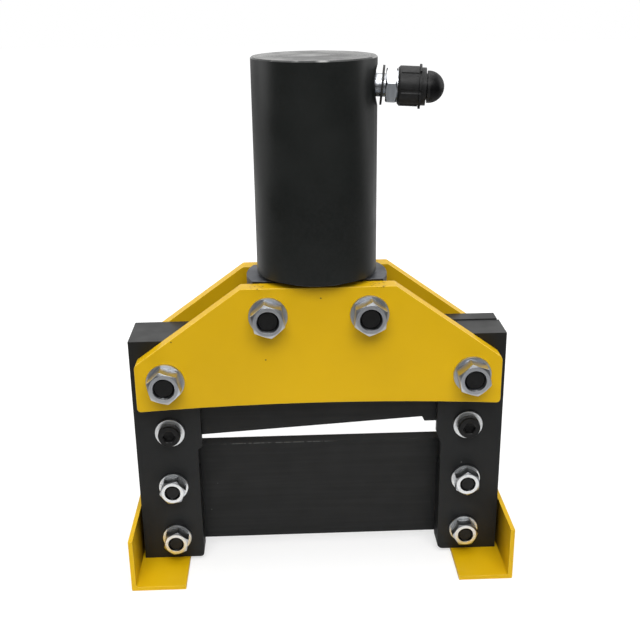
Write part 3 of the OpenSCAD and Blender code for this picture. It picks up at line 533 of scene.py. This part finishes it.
def post_black():
    """Matt blackened steel: faint upright milling marks, pale specks and a top made lighter as
    painted light.
    """
    dark = (0.0075, 0.0082, 0.0085)
    light = (0.0125, 0.0132, 0.0135)
    pale_top = (0.020, 0.0205, 0.0205)
    look = Look("post_black", (0.011, 0.011, 0.011), roughness=0.5, specular=0.32)
    steel = look.mixed(look.rising(look.noise(18, detail=5, roughness=0.6), 0.3, 0.75), dark, light)
    # painted highlight: the top faces are lighter
    topped = look.mixed(look.rising(look.facing("Z"), *STEEL_TOP), steel, pale_top)
    look.color(look.mixed(look.spots(60, size=0.035, share=0.10), topped, PALE_SPECK))
    look.cloudy_roughness(35, detail=4, smooth=0.42, rough=0.56)
    milling = look.noise(240, detail=3, roughness=0.6, stretch=(1, 1, 0.12))
    look.bump(milling, depth_mm=0.05, strength=0.3)
    look.bump(look.noise(900, detail=2), depth_mm=0.03, strength=0.3)
    return look.material


def satin_coat(look):
    """The cylinder's black coat, with a fine grain under soft clouds."""
    dark = (0.0055, 0.0065, 0.006)
    light = (0.0118, 0.0128, 0.0122)
    cloud = (0.0128, 0.0142, 0.0134)
    grainy = look.mixed(look.clouds(420, detail=3, roughness=0.7), dark, light)
    return look.mixed(look.rising(look.noise(14, detail=4), 0.3, 0.75), grainy, cloud)


def cylinder_black():
    """Satin black paint, with a turned top that is barely coated.

    The rim is worn in patches, and one small spot on its front is a painted glint.
    """
    rings_share = 0.35
    turned_dark = (0.05, 0.05, 0.05)
    turned_light = (0.175, 0.175, 0.17)
    patch = (0.22, 0.22, 0.215)
    glint = (0.32, 0.32, 0.31)
    look = Look("cylinder_black", (0.009, 0.010, 0.009), roughness=0.34, specular=0.38)
    upward = look.facing("Z")
    on_top = look.rising(upward, *CYLINDER_TOP)
    on_rim = look.within(upward, CYLINDER_RIM_FROM, CYLINDER_RIM_TO)
    rings = look.rising(look.rings(1300), *NOISE_MIDDLE)
    uneven = look.clouds(32, detail=4, roughness=0.6)
    soft_part = look.times(uneven, 1 - rings_share)
    streaks = look.math("ADD", look.times(rings, rings_share), soft_part)
    turned = look.mixed(streaks, turned_dark, turned_light)
    finish = look.mixed(on_top, satin_coat(look), turned)
    patches = look.times(on_rim, look.rising(look.noise(45, detail=3, roughness=0.6), 0.5, 0.62))
    worn = look.mixed(patches, finish, patch)
    # painted glint: one pale spot on the front of the rim
    aside = look.absolute(look.math("SUBTRACT", look.axis("X"), GLINT_X))
    in_front = look.falling(look.axis("Y"), *GLINT_Y)
    glint_place = look.times(on_rim, in_front, look.falling(aside, *GLINT_HALF_X))
    look.color(look.mixed(glint_place, worn, glint))
    satin = look.remap(look.noise(40, detail=3), *NOISE_MIDDLE, 0.30, 0.38)
    brushed = look.remap(streaks, 0.0, 1.0, 0.55, 0.28)
    look.roughness(look.blended(on_top, satin, brushed))
    look.bump(look.noise(500, detail=3, roughness=0.6), depth_mm=0.02, strength=0.35)
    return look.material


def block_steel():
    """Grey phosphated steel of the block, the holder and the piston.

    The block's front flat is nearly black with painted shade, and the holder below it stays grey.
    """
    dark = (0.050, 0.054, 0.063)
    light = (0.082, 0.086, 0.096)
    front = (0.006, 0.006, 0.007)
    look = Look("block_steel", (0.07, 0.074, 0.082), roughness=0.42, metallic=0.35)
    gray = look.mixed(look.clouds(40, detail=4), dark, light)
    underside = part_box("base_block")[0][2]
    # painted shade: the block's flat front above the holder is nearly black
    to_front = look.falling(look.facing("Y"), *BLOCK_SHADE_FACING)
    above_holder = look.rising(look.axis("Z"), underside - 1 * MM, underside)
    look.color(look.mixed(look.times(to_front, above_holder), gray, front))
    look.cloudy_roughness(70, detail=3, smooth=0.4, rough=0.56)
    look.bump(look.noise(700, detail=2), depth_mm=0.02, strength=0.4)
    return look.material


def edge_wear_and_highlight(look):
    """1 along the lower blade's front top edge, in a broken line that is partly worn steel and
    partly painted highlight.
    """
    low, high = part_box("lower_blade")
    below_top = (high[2] - 0.8 * MM, high[2] - 0.4 * MM)
    above_top = (high[2] + 0.3 * MM, high[2] + 0.8 * MM)
    at_top = look.within(look.axis("Z"), below_top, above_top)
    in_front = look.falling(look.axis("Y"), low[1] + 0.4 * MM, low[1] + 0.8 * MM)
    on_left = look.within(look.axis("X"), EDGE_LINE_FROM_X, EDGE_LINE_TO_X)
    broken = look.rising(look.noise(140, detail=3, roughness=0.6, stretch=(1, 0, 0)), 0.42, 0.52)
    return look.times(at_top, in_front, broken, on_left)


def blade_steel():
    """Near-black blade steel, ground lengthwise, with specks and dust.

    It is paler and duller on top, marked at its left end, and lighter along the front edge with
    wear and a painted highlight.
    """
    dark = (0.0065, 0.007, 0.007)
    light = (0.010, 0.0105, 0.0105)
    pale_top = (0.027, 0.0275, 0.0275)
    top_roughness = 0.9
    mark = (0.07, 0.07, 0.068)
    rubbed_and_highlight = (0.085, 0.085, 0.082)
    look = Look("blade_steel", (0.009, 0.009, 0.010), roughness=0.45, specular=0.3)
    grind = look.noise(300, detail=3, roughness=0.6, stretch=(0.03, 1, 1))
    steel = look.mixed(look.rising(grind, 0.35, 0.7), dark, light)
    on_top = look.rising(look.facing("Z"), *STEEL_TOP)
    topped = look.mixed(on_top, steel, pale_top)
    dusty = look.mixed(look.spots(60, size=0.03, share=0.05), topped, PALE_SPECK)
    left_end = look.falling(look.axis("X"), *BLADE_LEFT_END_X)
    marked = look.mixed(look.times(look.spots(160, size=0.10, share=0.16), left_end), dusty, mark)
    # partly painted highlight: a light broken line along the front top edge, also standing for wear
    look.color(look.mixed(edge_wear_and_highlight(look), marked, rubbed_and_highlight))
    ground = look.remap(look.noise(50, detail=4), *NOISE_MIDDLE, 0.4, 0.54)
    look.roughness(look.math("MAXIMUM", ground, look.times(on_top, top_roughness)))
    look.bump(grind, depth_mm=0.012, strength=0.3)
    return look.material


def zinc():
    """Zinc plate, satin and faintly blue, with slight clouds.

    Below the plates the nuts' and washers' fronts carry a painted highlight and their tops
    painted shade. The plates' nuts have painted shade on their upper chamfers, and the
    coupler's underside carries a dark painted reflection in stripes.
    """
    pale = (0.59, 0.605, 0.625)
    cloud = (0.53, 0.545, 0.575)
    chamfer_shade = (0.13, 0.135, 0.14)
    front_highlight = (0.86, 0.875, 0.88)
    top_shade = (0.20, 0.205, 0.21)
    reflection_dark = (0.09, 0.11, 0.135)
    reflection_light = (0.20, 0.225, 0.26)
    look = Look("zinc", (0.57, 0.585, 0.61), roughness=0.32, metallic=1.0)
    plate = look.mixed(look.clouds(90, detail=3), pale, cloud)
    height = look.axis("Z")
    to_front = look.facing("Y")
    upward = look.facing("Z")
    on_plates = look.within(height, BELOW_PLATE_NUTS_Z, ABOVE_PLATE_NUTS_Z)
    # painted shade: the plates' nuts are darker on their upper chamfers
    upper_half = look.rising(upward, *CHAMFER_UPWARD)
    chamfers = look.times(upper_half, look.falling(to_front, *CHAMFER_TO_FRONT))
    chamfer_shaded = look.mixed(look.times(chamfers, on_plates), plate, chamfer_shade)
    below_plates = look.falling(height, *BELOW_PLATE_NUTS_Z)
    # painted highlight: fronts of the nuts and washers below the plates are lighter
    fronts = look.times(look.falling(to_front, *NUT_TO_FRONT), below_plates)
    front_highlighted = look.mixed(fronts, chamfer_shaded, front_highlight)
    # painted shade: tops of the nuts below the plates are darker
    tops = look.times(look.rising(upward, *NUT_UPWARD), below_plates)
    top_shaded = look.mixed(tops, front_highlighted, top_shade)
    # painted reflection: the coupler's underside is dark with stripes
    stripes = look.rising(look.noise(110, detail=2, roughness=0.5, stretch=(2.5, 1, 0.1)), 0.4, 0.6)
    reflection_stripes = look.mixed(stripes, reflection_dark, reflection_light)
    downward = look.falling(upward, *COUPLER_DOWNWARD)
    coupler_reflection = look.times(downward, look.rising(height, *BELOW_COUPLER_Z))
    look.color(look.mixed(coupler_reflection, top_shaded, reflection_stripes))
    look.cloudy_roughness(60, detail=2, smooth=0.29, rough=0.35)
    return look.material


def black_bolt():
    """Black oxide on screws and bolts."""
    look = Look("black_bolt", (0.005, 0.005, 0.005), roughness=0.42, specular=0.3)
    look.color(look.mixed(look.clouds(200, detail=3), (0.003, 0.003, 0.003), (0.006, 0.006, 0.006)))
    look.cloudy_roughness(300, detail=2, smooth=0.34, rough=0.5)
    look.bump(look.noise(1500, detail=2), depth_mm=0.01, strength=0.5)
    return look.material


def black_plastic():
    """Moulded black plastic of the dust cap with a fine grain, blacker on its domed end."""
    dome = (0.0015, 0.0015, 0.002)
    look = Look("black_plastic", (0.010, 0.010, 0.010), roughness=0.45, specular=0.20)
    sleeve = look.mixed(look.clouds(150, detail=3), (0.012, 0.012, 0.0122), (0.017, 0.017, 0.0173))
    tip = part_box("dust_cap")[1][0]
    on_dome = look.rising(look.axis("X"), tip - 12.5 * MM, tip - 11.5 * MM)
    look.color(look.mixed(on_dome, sleeve, dome))
    look.cloudy_roughness(250, detail=3, smooth=0.40, rough=0.50)
    look.bump(look.noise(1400, detail=2), depth_mm=0.015, strength=0.5)
    return look.material


def black_rubber():
    """Dull black rubber."""
    look = Look("black_rubber", (0.015, 0.015, 0.015), roughness=0.62, specular=0.35)
    look.color(look.mixed(look.noise(200, detail=3), (0.012, 0.012, 0.012), (0.022, 0.022, 0.022)))
    look.bump(look.noise(1200, detail=2), depth_mm=0.015, strength=0.5)
    return look.material


def plain_metal(name, dark, light, roughness):
    """A bare metal with fine variation between two colours."""
    look = Look(name, light, roughness=roughness, metallic=1.0)
    look.color(look.mixed(look.clouds(120, detail=3), dark, light))
    look.cloudy_roughness(400, detail=3, smooth=roughness * 0.8, rough=roughness * 1.2)
    look.bump(look.noise(800, detail=2), depth_mm=0.01, strength=0.3)
    return look.material


def plain_polymer(name, dark, light, roughness):
    """A seal or guide ring material."""
    look = Look(name, light, roughness=roughness)
    look.color(look.mixed(look.noise(150, detail=3), dark, light))
    look.bump(look.noise(900, detail=2), depth_mm=0.01, strength=0.4)
    return look.material


def make_materials():
    """One material for each of the record's material slots."""
    polished_dark, polished_light = (0.62, 0.63, 0.64), (0.70, 0.71, 0.72)
    spring_dark, spring_light = (0.16, 0.165, 0.17), (0.24, 0.245, 0.25)
    return {
        "yellow_paint": yellow_paint(),
        "post_black": post_black(),
        "cylinder_black": cylinder_black(),
        "block_steel": block_steel(),
        "blade_steel": blade_steel(),
        "zinc": zinc(),
        "black_bolt": black_bolt(),
        "black_plastic": black_plastic(),
        "black_rubber": black_rubber(),
        "bronze": plain_metal("bronze", (0.42, 0.27, 0.11), (0.52, 0.34, 0.15), 0.32),
        "polished_steel": plain_metal("polished_steel", polished_dark, polished_light, 0.14),
        "spring_steel": plain_metal("spring_steel", spring_dark, spring_light, 0.35),
        "seal_blue": plain_polymer("seal_blue", (0.015, 0.04, 0.10), (0.025, 0.06, 0.14), 0.4),
        "wear_resin": plain_polymer("wear_resin", (0.24, 0.13, 0.05), (0.34, 0.19, 0.08), 0.5),
    }


def paint_nodes(looks):
    """Every CAD node gets its slot's material."""
    for row in frame["record"]["subparts"]:
        mesh = nodes[row["node"]].data
        mesh.materials.clear()
        mesh.materials.append(looks[row["material_slot"]])
        mesh.polygons.foreach_set("material_index", [0] * len(mesh.polygons))


# Broken edges

EDGE_MM = {
    "front_plate": 0.7,
    "rear_plate": 0.7,
    "left_post": 0.8,
    "right_post": 0.8,
    "right_post_rear_bar": 0.6,
    "left_foot": 0.5,
    "right_foot": 0.5,
    "base_block": 0.6,
    "lower_blade": 0.25,
    "upper_blade": 0.25,
    "blade_holder": 0.6,
    "cylinder_body": 0.4,
    "plate_washers": 0.3,
    "blade_washers": 0.25,
    "post_screw_washers": 0.25,
    "coupler_body": 0.2,
    "coupler_washer": 0.15,
    "dust_cap": 0.3,
}
SAME_POINT_MM = 0.002
SAME_FACE_ANGLE = math.radians(0.1)
SHARP_EDGE_ANGLE = math.radians(25)
EDGE_STEPS = 2


def break_edges(node, width_mm):
    """Rounds a CAD node's sharp edges with modifiers, and leaves its own vertices alone."""
    obj = nodes[node]
    mesh = obj.data
    if mesh.has_custom_normals:
        mesh.attributes.remove(mesh.attributes["custom_normal"])
    mesh.polygons.foreach_set("use_smooth", [True] * len(mesh.polygons))
    weld = obj.modifiers.new("weld", "WELD")
    weld.merge_threshold = SAME_POINT_MM * MM
    flat = obj.modifiers.new("flat_faces", "DECIMATE")
    flat.decimate_type = "DISSOLVE"
    flat.angle_limit = SAME_FACE_ANGLE
    bevel = obj.modifiers.new("edges", "BEVEL")
    bevel.width = width_mm * MM
    bevel.segments = EDGE_STEPS
    bevel.limit_method = "ANGLE"
    bevel.angle_limit = SHARP_EDGE_ANGLE
    bevel.harden_normals = True
    bevel.miter_outer = "MITER_ARC"


# Pieces in mesh code

COLUMNS = 72
HALF_FLAT = math.radians(30)
THREAD_RINGS_A_TURN = 4
SHADE_SHARP_FROM = math.radians(40)


def angles(columns):
    return [2 * math.pi * i / columns for i in range(columns)]


def hex_radius(angle, across_flats):
    """Distance from the middle of a hexagon to its outline, with a corner at angle 0."""
    return across_flats / 2 / math.cos(angle % (2 * HALF_FLAT) - HALF_FLAT)


def ring(radius, z, columns=COLUMNS):
    """Points round Z. The radius and the height are each a number or a function of the angle."""
    points = []
    for angle in angles(columns):
        r = radius(angle) if callable(radius) else radius
        h = z(angle) if callable(z) else z
        points.append(Vector((r * math.cos(angle), r * math.sin(angle), h)))
    return points


def thread_rings(radius, depth, pitch, from_z, to_z, inside=False):
    """Rings of a screw thread, a V that climbs one pitch a turn.

    The crests of an inside thread are nearest the axis.
    """
    steps = max(1, round((to_z - from_z) / (pitch / THREAD_RINGS_A_TURN)))
    rings = []
    for step in range(steps + 1):
        z = from_z + (to_z - from_z) * step / steps

        def radius_at(angle, z=z):
            turn = (z / pitch - angle / (2 * math.pi)) % 1
            rise = depth * abs(2 * turn - 1)
            return radius + rise if inside else radius - rise
        rings.append(ring(radius_at, z))
    return rings


class Builder:
    """A mesh under construction in metres, from rings given in millimetres."""

    def __init__(self, name):
        self.name = name
        self.bm = bmesh.new()
        self.weight = self.bm.edges.layers.float.new("bevel_weight_edge")

    def skin(self, rings, place, close_start=False, close_end=False, closed=False):
        """Joins rings of points with faces. place turns their own frame into the object's."""
        rows = [[self.bm.verts.new(place @ point * MM) for point in points] for points in rings]
        pairs = list(zip(rows, rows[1:]))
        if closed:
            pairs.append((rows[-1], rows[0]))
        for lower, upper in pairs:
            count = len(lower)
            for i in range(count):
                j = (i + 1) % count
                self.bm.faces.new((lower[i], lower[j], upper[j], upper[i]))
        if close_start:
            self.bm.faces.new(list(reversed(rows[0])))
        if close_end:
            self.bm.faces.new(rows[-1])
        return rows

    def mark_ring(self, row):
        """Marks the edges along one ring to be rounded."""
        for first, second in zip(row, row[1:] + row[:1]):
            edge = self.bm.edges.get((first, second))
            edge[self.weight] = 1.0

    def mark_across(self, first_row, second_row, columns):
        """Marks the edges between two rings at some columns to be rounded."""
        for column in columns:
            edge = self.bm.edges.get((first_row[column], second_row[column]))
            edge[self.weight] = 1.0

    def finish(self, looks, slot, body, replaced, edge_mm=0.0):
        """Makes the object in its finish, hangs it on its body, and hides the node that it stands
        in for.
        """
        bmesh.ops.recalc_face_normals(self.bm, faces=self.bm.faces)
        mesh = bpy.data.meshes.new(self.name)
        self.bm.to_mesh(mesh)
        self.bm.free()
        mesh.polygons.foreach_set("use_smooth", [True] * len(mesh.polygons))
        mesh.set_sharp_from_angle(angle=SHADE_SHARP_FROM)
        mesh.materials.append(looks[slot])
        obj = bpy.data.objects.new(self.name, mesh)
        bpy.context.scene.collection.objects.link(obj)
        if edge_mm:
            bevel = obj.modifiers.new("edges", "BEVEL")
            bevel.width = edge_mm * MM
            bevel.segments = EDGE_STEPS
            bevel.limit_method = "WEIGHT"
            bevel.harden_normals = True
        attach(obj, body)
        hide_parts(replaced)
        return obj


def facing_front(x, y, z, turn=0.0):
    """Frame whose own Z points to the front, at a place in millimetres."""
    axes = Matrix(((1, 0, 0), (0, 0, -1), (0, 1, 0))).to_4x4()
    return Matrix.Translation((x, y, z)) @ axes @ Matrix.Rotation(math.radians(turn), 4, "Z")


def facing_rear(x, y, z):
    """Frame whose own Z points to the rear, at a place in millimetres."""
    axes = Matrix(((1, 0, 0), (0, 0, 1), (0, -1, 0))).to_4x4()
    return Matrix.Translation((x, y, z)) @ axes


# Nuts, in millimetres or as a share of their width

NUT_HOLE_PLAY = 0.1
NUT_THREAD_DEPTH = 0.6
NUT_THREAD_LEAD = 0.9
NUT_FACE_SHARE = 0.945
NUT_CHAMFER_SLOPE = 0.577


def add_nut(builder, size, place):
    """A chamfered hexagon nut with a countersunk, threaded hole, standing on its own z = 0."""
    height, across = size["nut_height"], size["across_flats"]
    hole = size["diameter"] / 2 + NUT_HOLE_PLAY
    sink = hole + size["countersink_width"]
    corner = across / math.sqrt(3)
    flat = across / 2 * NUT_FACE_SHARE
    chamfer = (corner - flat) * NUT_CHAMFER_SLOPE

    def drop(angle):
        return chamfer * (hex_radius(angle, across) - flat) / (corner - flat)

    def outline(angle):
        return hex_radius(angle, across)

    outer = [
        ring(sink, 0),
        ring(flat, 0),
        ring(outline, drop),
        ring(outline, lambda angle: height - drop(angle)),
        ring(flat, height),
        ring(sink, height),
    ]
    thread = thread_rings(hole, NUT_THREAD_DEPTH, size["pitch"], NUT_THREAD_LEAD,
                          height - NUT_THREAD_LEAD, inside=True)
    rows = builder.skin(outer + list(reversed(thread)), place, closed=True)
    for row in rows[:len(outer)]:
        builder.mark_ring(row)
    builder.mark_across(rows[2], rows[3], range(0, COLUMNS, COLUMNS // 6))


def make_nuts(looks):
    """The plate bolts' and the blade bolts' nuts, each turned as it was left when tightened."""
    sets = (
        ("plate_nut_set", "plate_nuts", M16, PLATE_BOLT_PLACES, PLATE_THICKNESS),
        ("blade_nut_set", "blade_nuts", M12, BLADE_BOLT_PLACES, 0.0),
    )
    for name, replaced, size, places, plate_thickness in sets:
        builder = Builder(name)
        seat_y = POST_FRONT_Y - plate_thickness - size["washer_thickness"]
        for (x, z), turn in zip(places, size["nut_turns"]):
            add_nut(builder, size, facing_front(x, seat_y, z, turn))
        builder.finish(looks, "zinc", "frame", replaced, size["nut_edge_width"])


# Socket head screws, in millimetres or as shares of the thread's diameter or the head's height

HEAD_COLUMNS = 144
HEAD_RADIUS_SHARE = 0.75
HEAD_EDGE_SHARE = 0.08
SOCKET_RADIUS_SHARE = 0.43
SOCKET_DEPTH_SHARE = 0.5
SOCKET_DEPTH_MOST = 0.62
SOCKET_POINT_RADIUS = 0.4
SOCKET_POINT_DEPTH = 1.2
SOCKET_CHAMFER_WIDTH = 0.4
SOCKET_CHAMFER_DEPTH = 0.5
KNURL_DEPTH = 0.3
KNURL_BELOW_EDGE = 0.8
KNURL_FOOT = 1.4
PLAIN_FOOT = 0.9
SHANK_NECK = 1.0
BOLT_THREAD_DEPTH = 0.8
BOLT_END_CHAMFER = 1.0
BOLT_THREAD_RUNOUT = 0.5
POST_SCREW_THREAD_LENGTH = 26.0


def socket_head(size, head_height):
    """Rings of a knurled head with a hexagon socket, from the socket's point to the shank."""
    head_radius = size["diameter"] * HEAD_RADIUS_SHARE
    plain_radius = head_radius - KNURL_DEPTH
    shank_radius = size["diameter"] / 2
    edge = head_height * HEAD_EDGE_SHARE
    socket_radius = size["diameter"] * SOCKET_RADIUS_SHARE
    socket_depth = min(size["diameter"] * SOCKET_DEPTH_SHARE, head_height * SOCKET_DEPTH_MOST)
    floor = head_height - socket_depth

    def knurled(angle):
        return head_radius - KNURL_DEPTH * (round(angle / (2 * math.pi) * HEAD_COLUMNS) % 2)

    def socket(angle):
        return hex_radius(angle, socket_radius * math.sqrt(3))

    outline = [
        (SOCKET_POINT_RADIUS, floor - SOCKET_POINT_DEPTH),
        (socket, floor),
        (socket, head_height - SOCKET_CHAMFER_DEPTH),
        (socket_radius + SOCKET_CHAMFER_WIDTH, head_height),
        (head_radius - edge, head_height),
        (plain_radius, head_height - edge),
        (knurled, head_height - edge - KNURL_BELOW_EDGE),
        (knurled, KNURL_FOOT),
        (plain_radius, PLAIN_FOOT),
        (plain_radius, 0.0),
        (shank_radius, 0.0),
        (shank_radius, -SHANK_NECK),
    ]
    return [ring(radius, z, HEAD_COLUMNS) for radius, z in outline]


def add_socket_screw(builder, size, length, head_height, thread_length, place):
    """A socket head screw along its own Z, its head above z = 0 and its thread at the end."""
    rows = builder.skin(socket_head(size, head_height), place, close_start=True)
    mouth, rim, foot = rows[3], rows[4], rows[9]
    for row in (mouth, rim, foot):
        builder.mark_ring(row)
    shank_radius = size["diameter"] / 2
    end_z = -length
    thread_top = end_z + thread_length
    shank = [
        ring(shank_radius - BOLT_END_CHAMFER, end_z),
        *thread_rings(shank_radius, BOLT_THREAD_DEPTH, size["pitch"],
                      end_z + BOLT_END_CHAMFER, thread_top),
        ring(shank_radius, thread_top + BOLT_THREAD_RUNOUT),
        ring(shank_radius, -SHANK_NECK),
    ]
    builder.skin(shank, place, close_start=True)


def make_bolts(looks):
    """The bolts through the plates and through the posts, with their heads at the rear."""
    sets = (
        ("plate_bolt_set", "plate_bolts", M16, PLATE_BOLT_PLACES, PLATE_THICKNESS),
        ("blade_bolt_set", "blade_bolts", M12, BLADE_BOLT_PLACES, 0.0),
    )
    for name, replaced, size, places, plate_thickness in sets:
        builder = Builder(name)
        head_y = POST_REAR_Y + plate_thickness + size["washer_thickness"]
        nut_y = POST_FRONT_Y - plate_thickness - size["washer_thickness"] - size["nut_height"]
        length = head_y - (nut_y + size["bolt_end_recess"])
        for x, z in places:
            place = facing_rear(x, head_y, z)
            add_socket_screw(builder, size, length, size["head_height"],
                             size["thread_length"], place)
        builder.finish(looks, "black_bolt", "frame", replaced, size["bolt_edge_width"])


def make_post_screws(looks):
    """The two low-head screws in the posts' front, above the lower blade."""
    builder = Builder("post_screw_set")
    head_y = POST_FRONT_Y - M12["washer_thickness"]
    for x, z in POST_SCREW_PLACES:
        place = facing_front(x, head_y, z)
        add_socket_screw(builder, M12, POST_SCREW_LENGTH, POST_SCREW_HEAD_HEIGHT,
                         POST_SCREW_THREAD_LENGTH, place)
    builder.finish(looks, "black_bolt", "frame", "post_screws", M12["bolt_edge_width"])


# Return spring

SPRING_STEPS_A_TURN = 40
SPRING_SIDES = 14


def make_return_spring(looks):
    """A coil of round wire at its full length; the real spring shortens as the ram goes down."""
    builder = Builder("return_spring_coil")
    steps = SPRING_TURNS * SPRING_STEPS_A_TURN
    rise = SPRING_LENGTH - 2 * SPRING_WIRE_RADIUS
    up = Vector((0, 0, 1))
    rings = []
    for step in range(steps + 1):
        share = step / steps
        angle = 2 * math.pi * SPRING_TURNS * share
        outward = Vector((math.cos(angle), math.sin(angle), 0))
        middle = outward * SPRING_RADIUS + up * (SPRING_WIRE_RADIUS + rise * share)
        section = []
        for around in angles(SPRING_SIDES):
            toward = math.cos(around) * outward + math.sin(around) * up
            section.append(middle + SPRING_WIRE_RADIUS * toward)
        rings.append(section)
    foot = Matrix.Translation((0, 0, SPRING_FOOT_Z))
    builder.skin(rings, foot, close_start=True, close_end=True)
    coil = builder.finish(looks, "spring_steel", "frame", "return_spring")
    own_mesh(coil)


def main():
    """Builds the whole scene round the frame."""
    scene = bpy.context.scene
    scene.view_settings.view_transform = "Standard"
    make_camera()
    make_world()
    make_lamps()
    make_floor()
    looks = make_materials()
    paint_nodes(looks)
    for node, width_mm in EDGE_MM.items():
        break_edges(node, width_mm)
    make_nuts(looks)
    make_bolts(looks)
    make_post_screws(looks)
    make_return_spring(looks)


main()
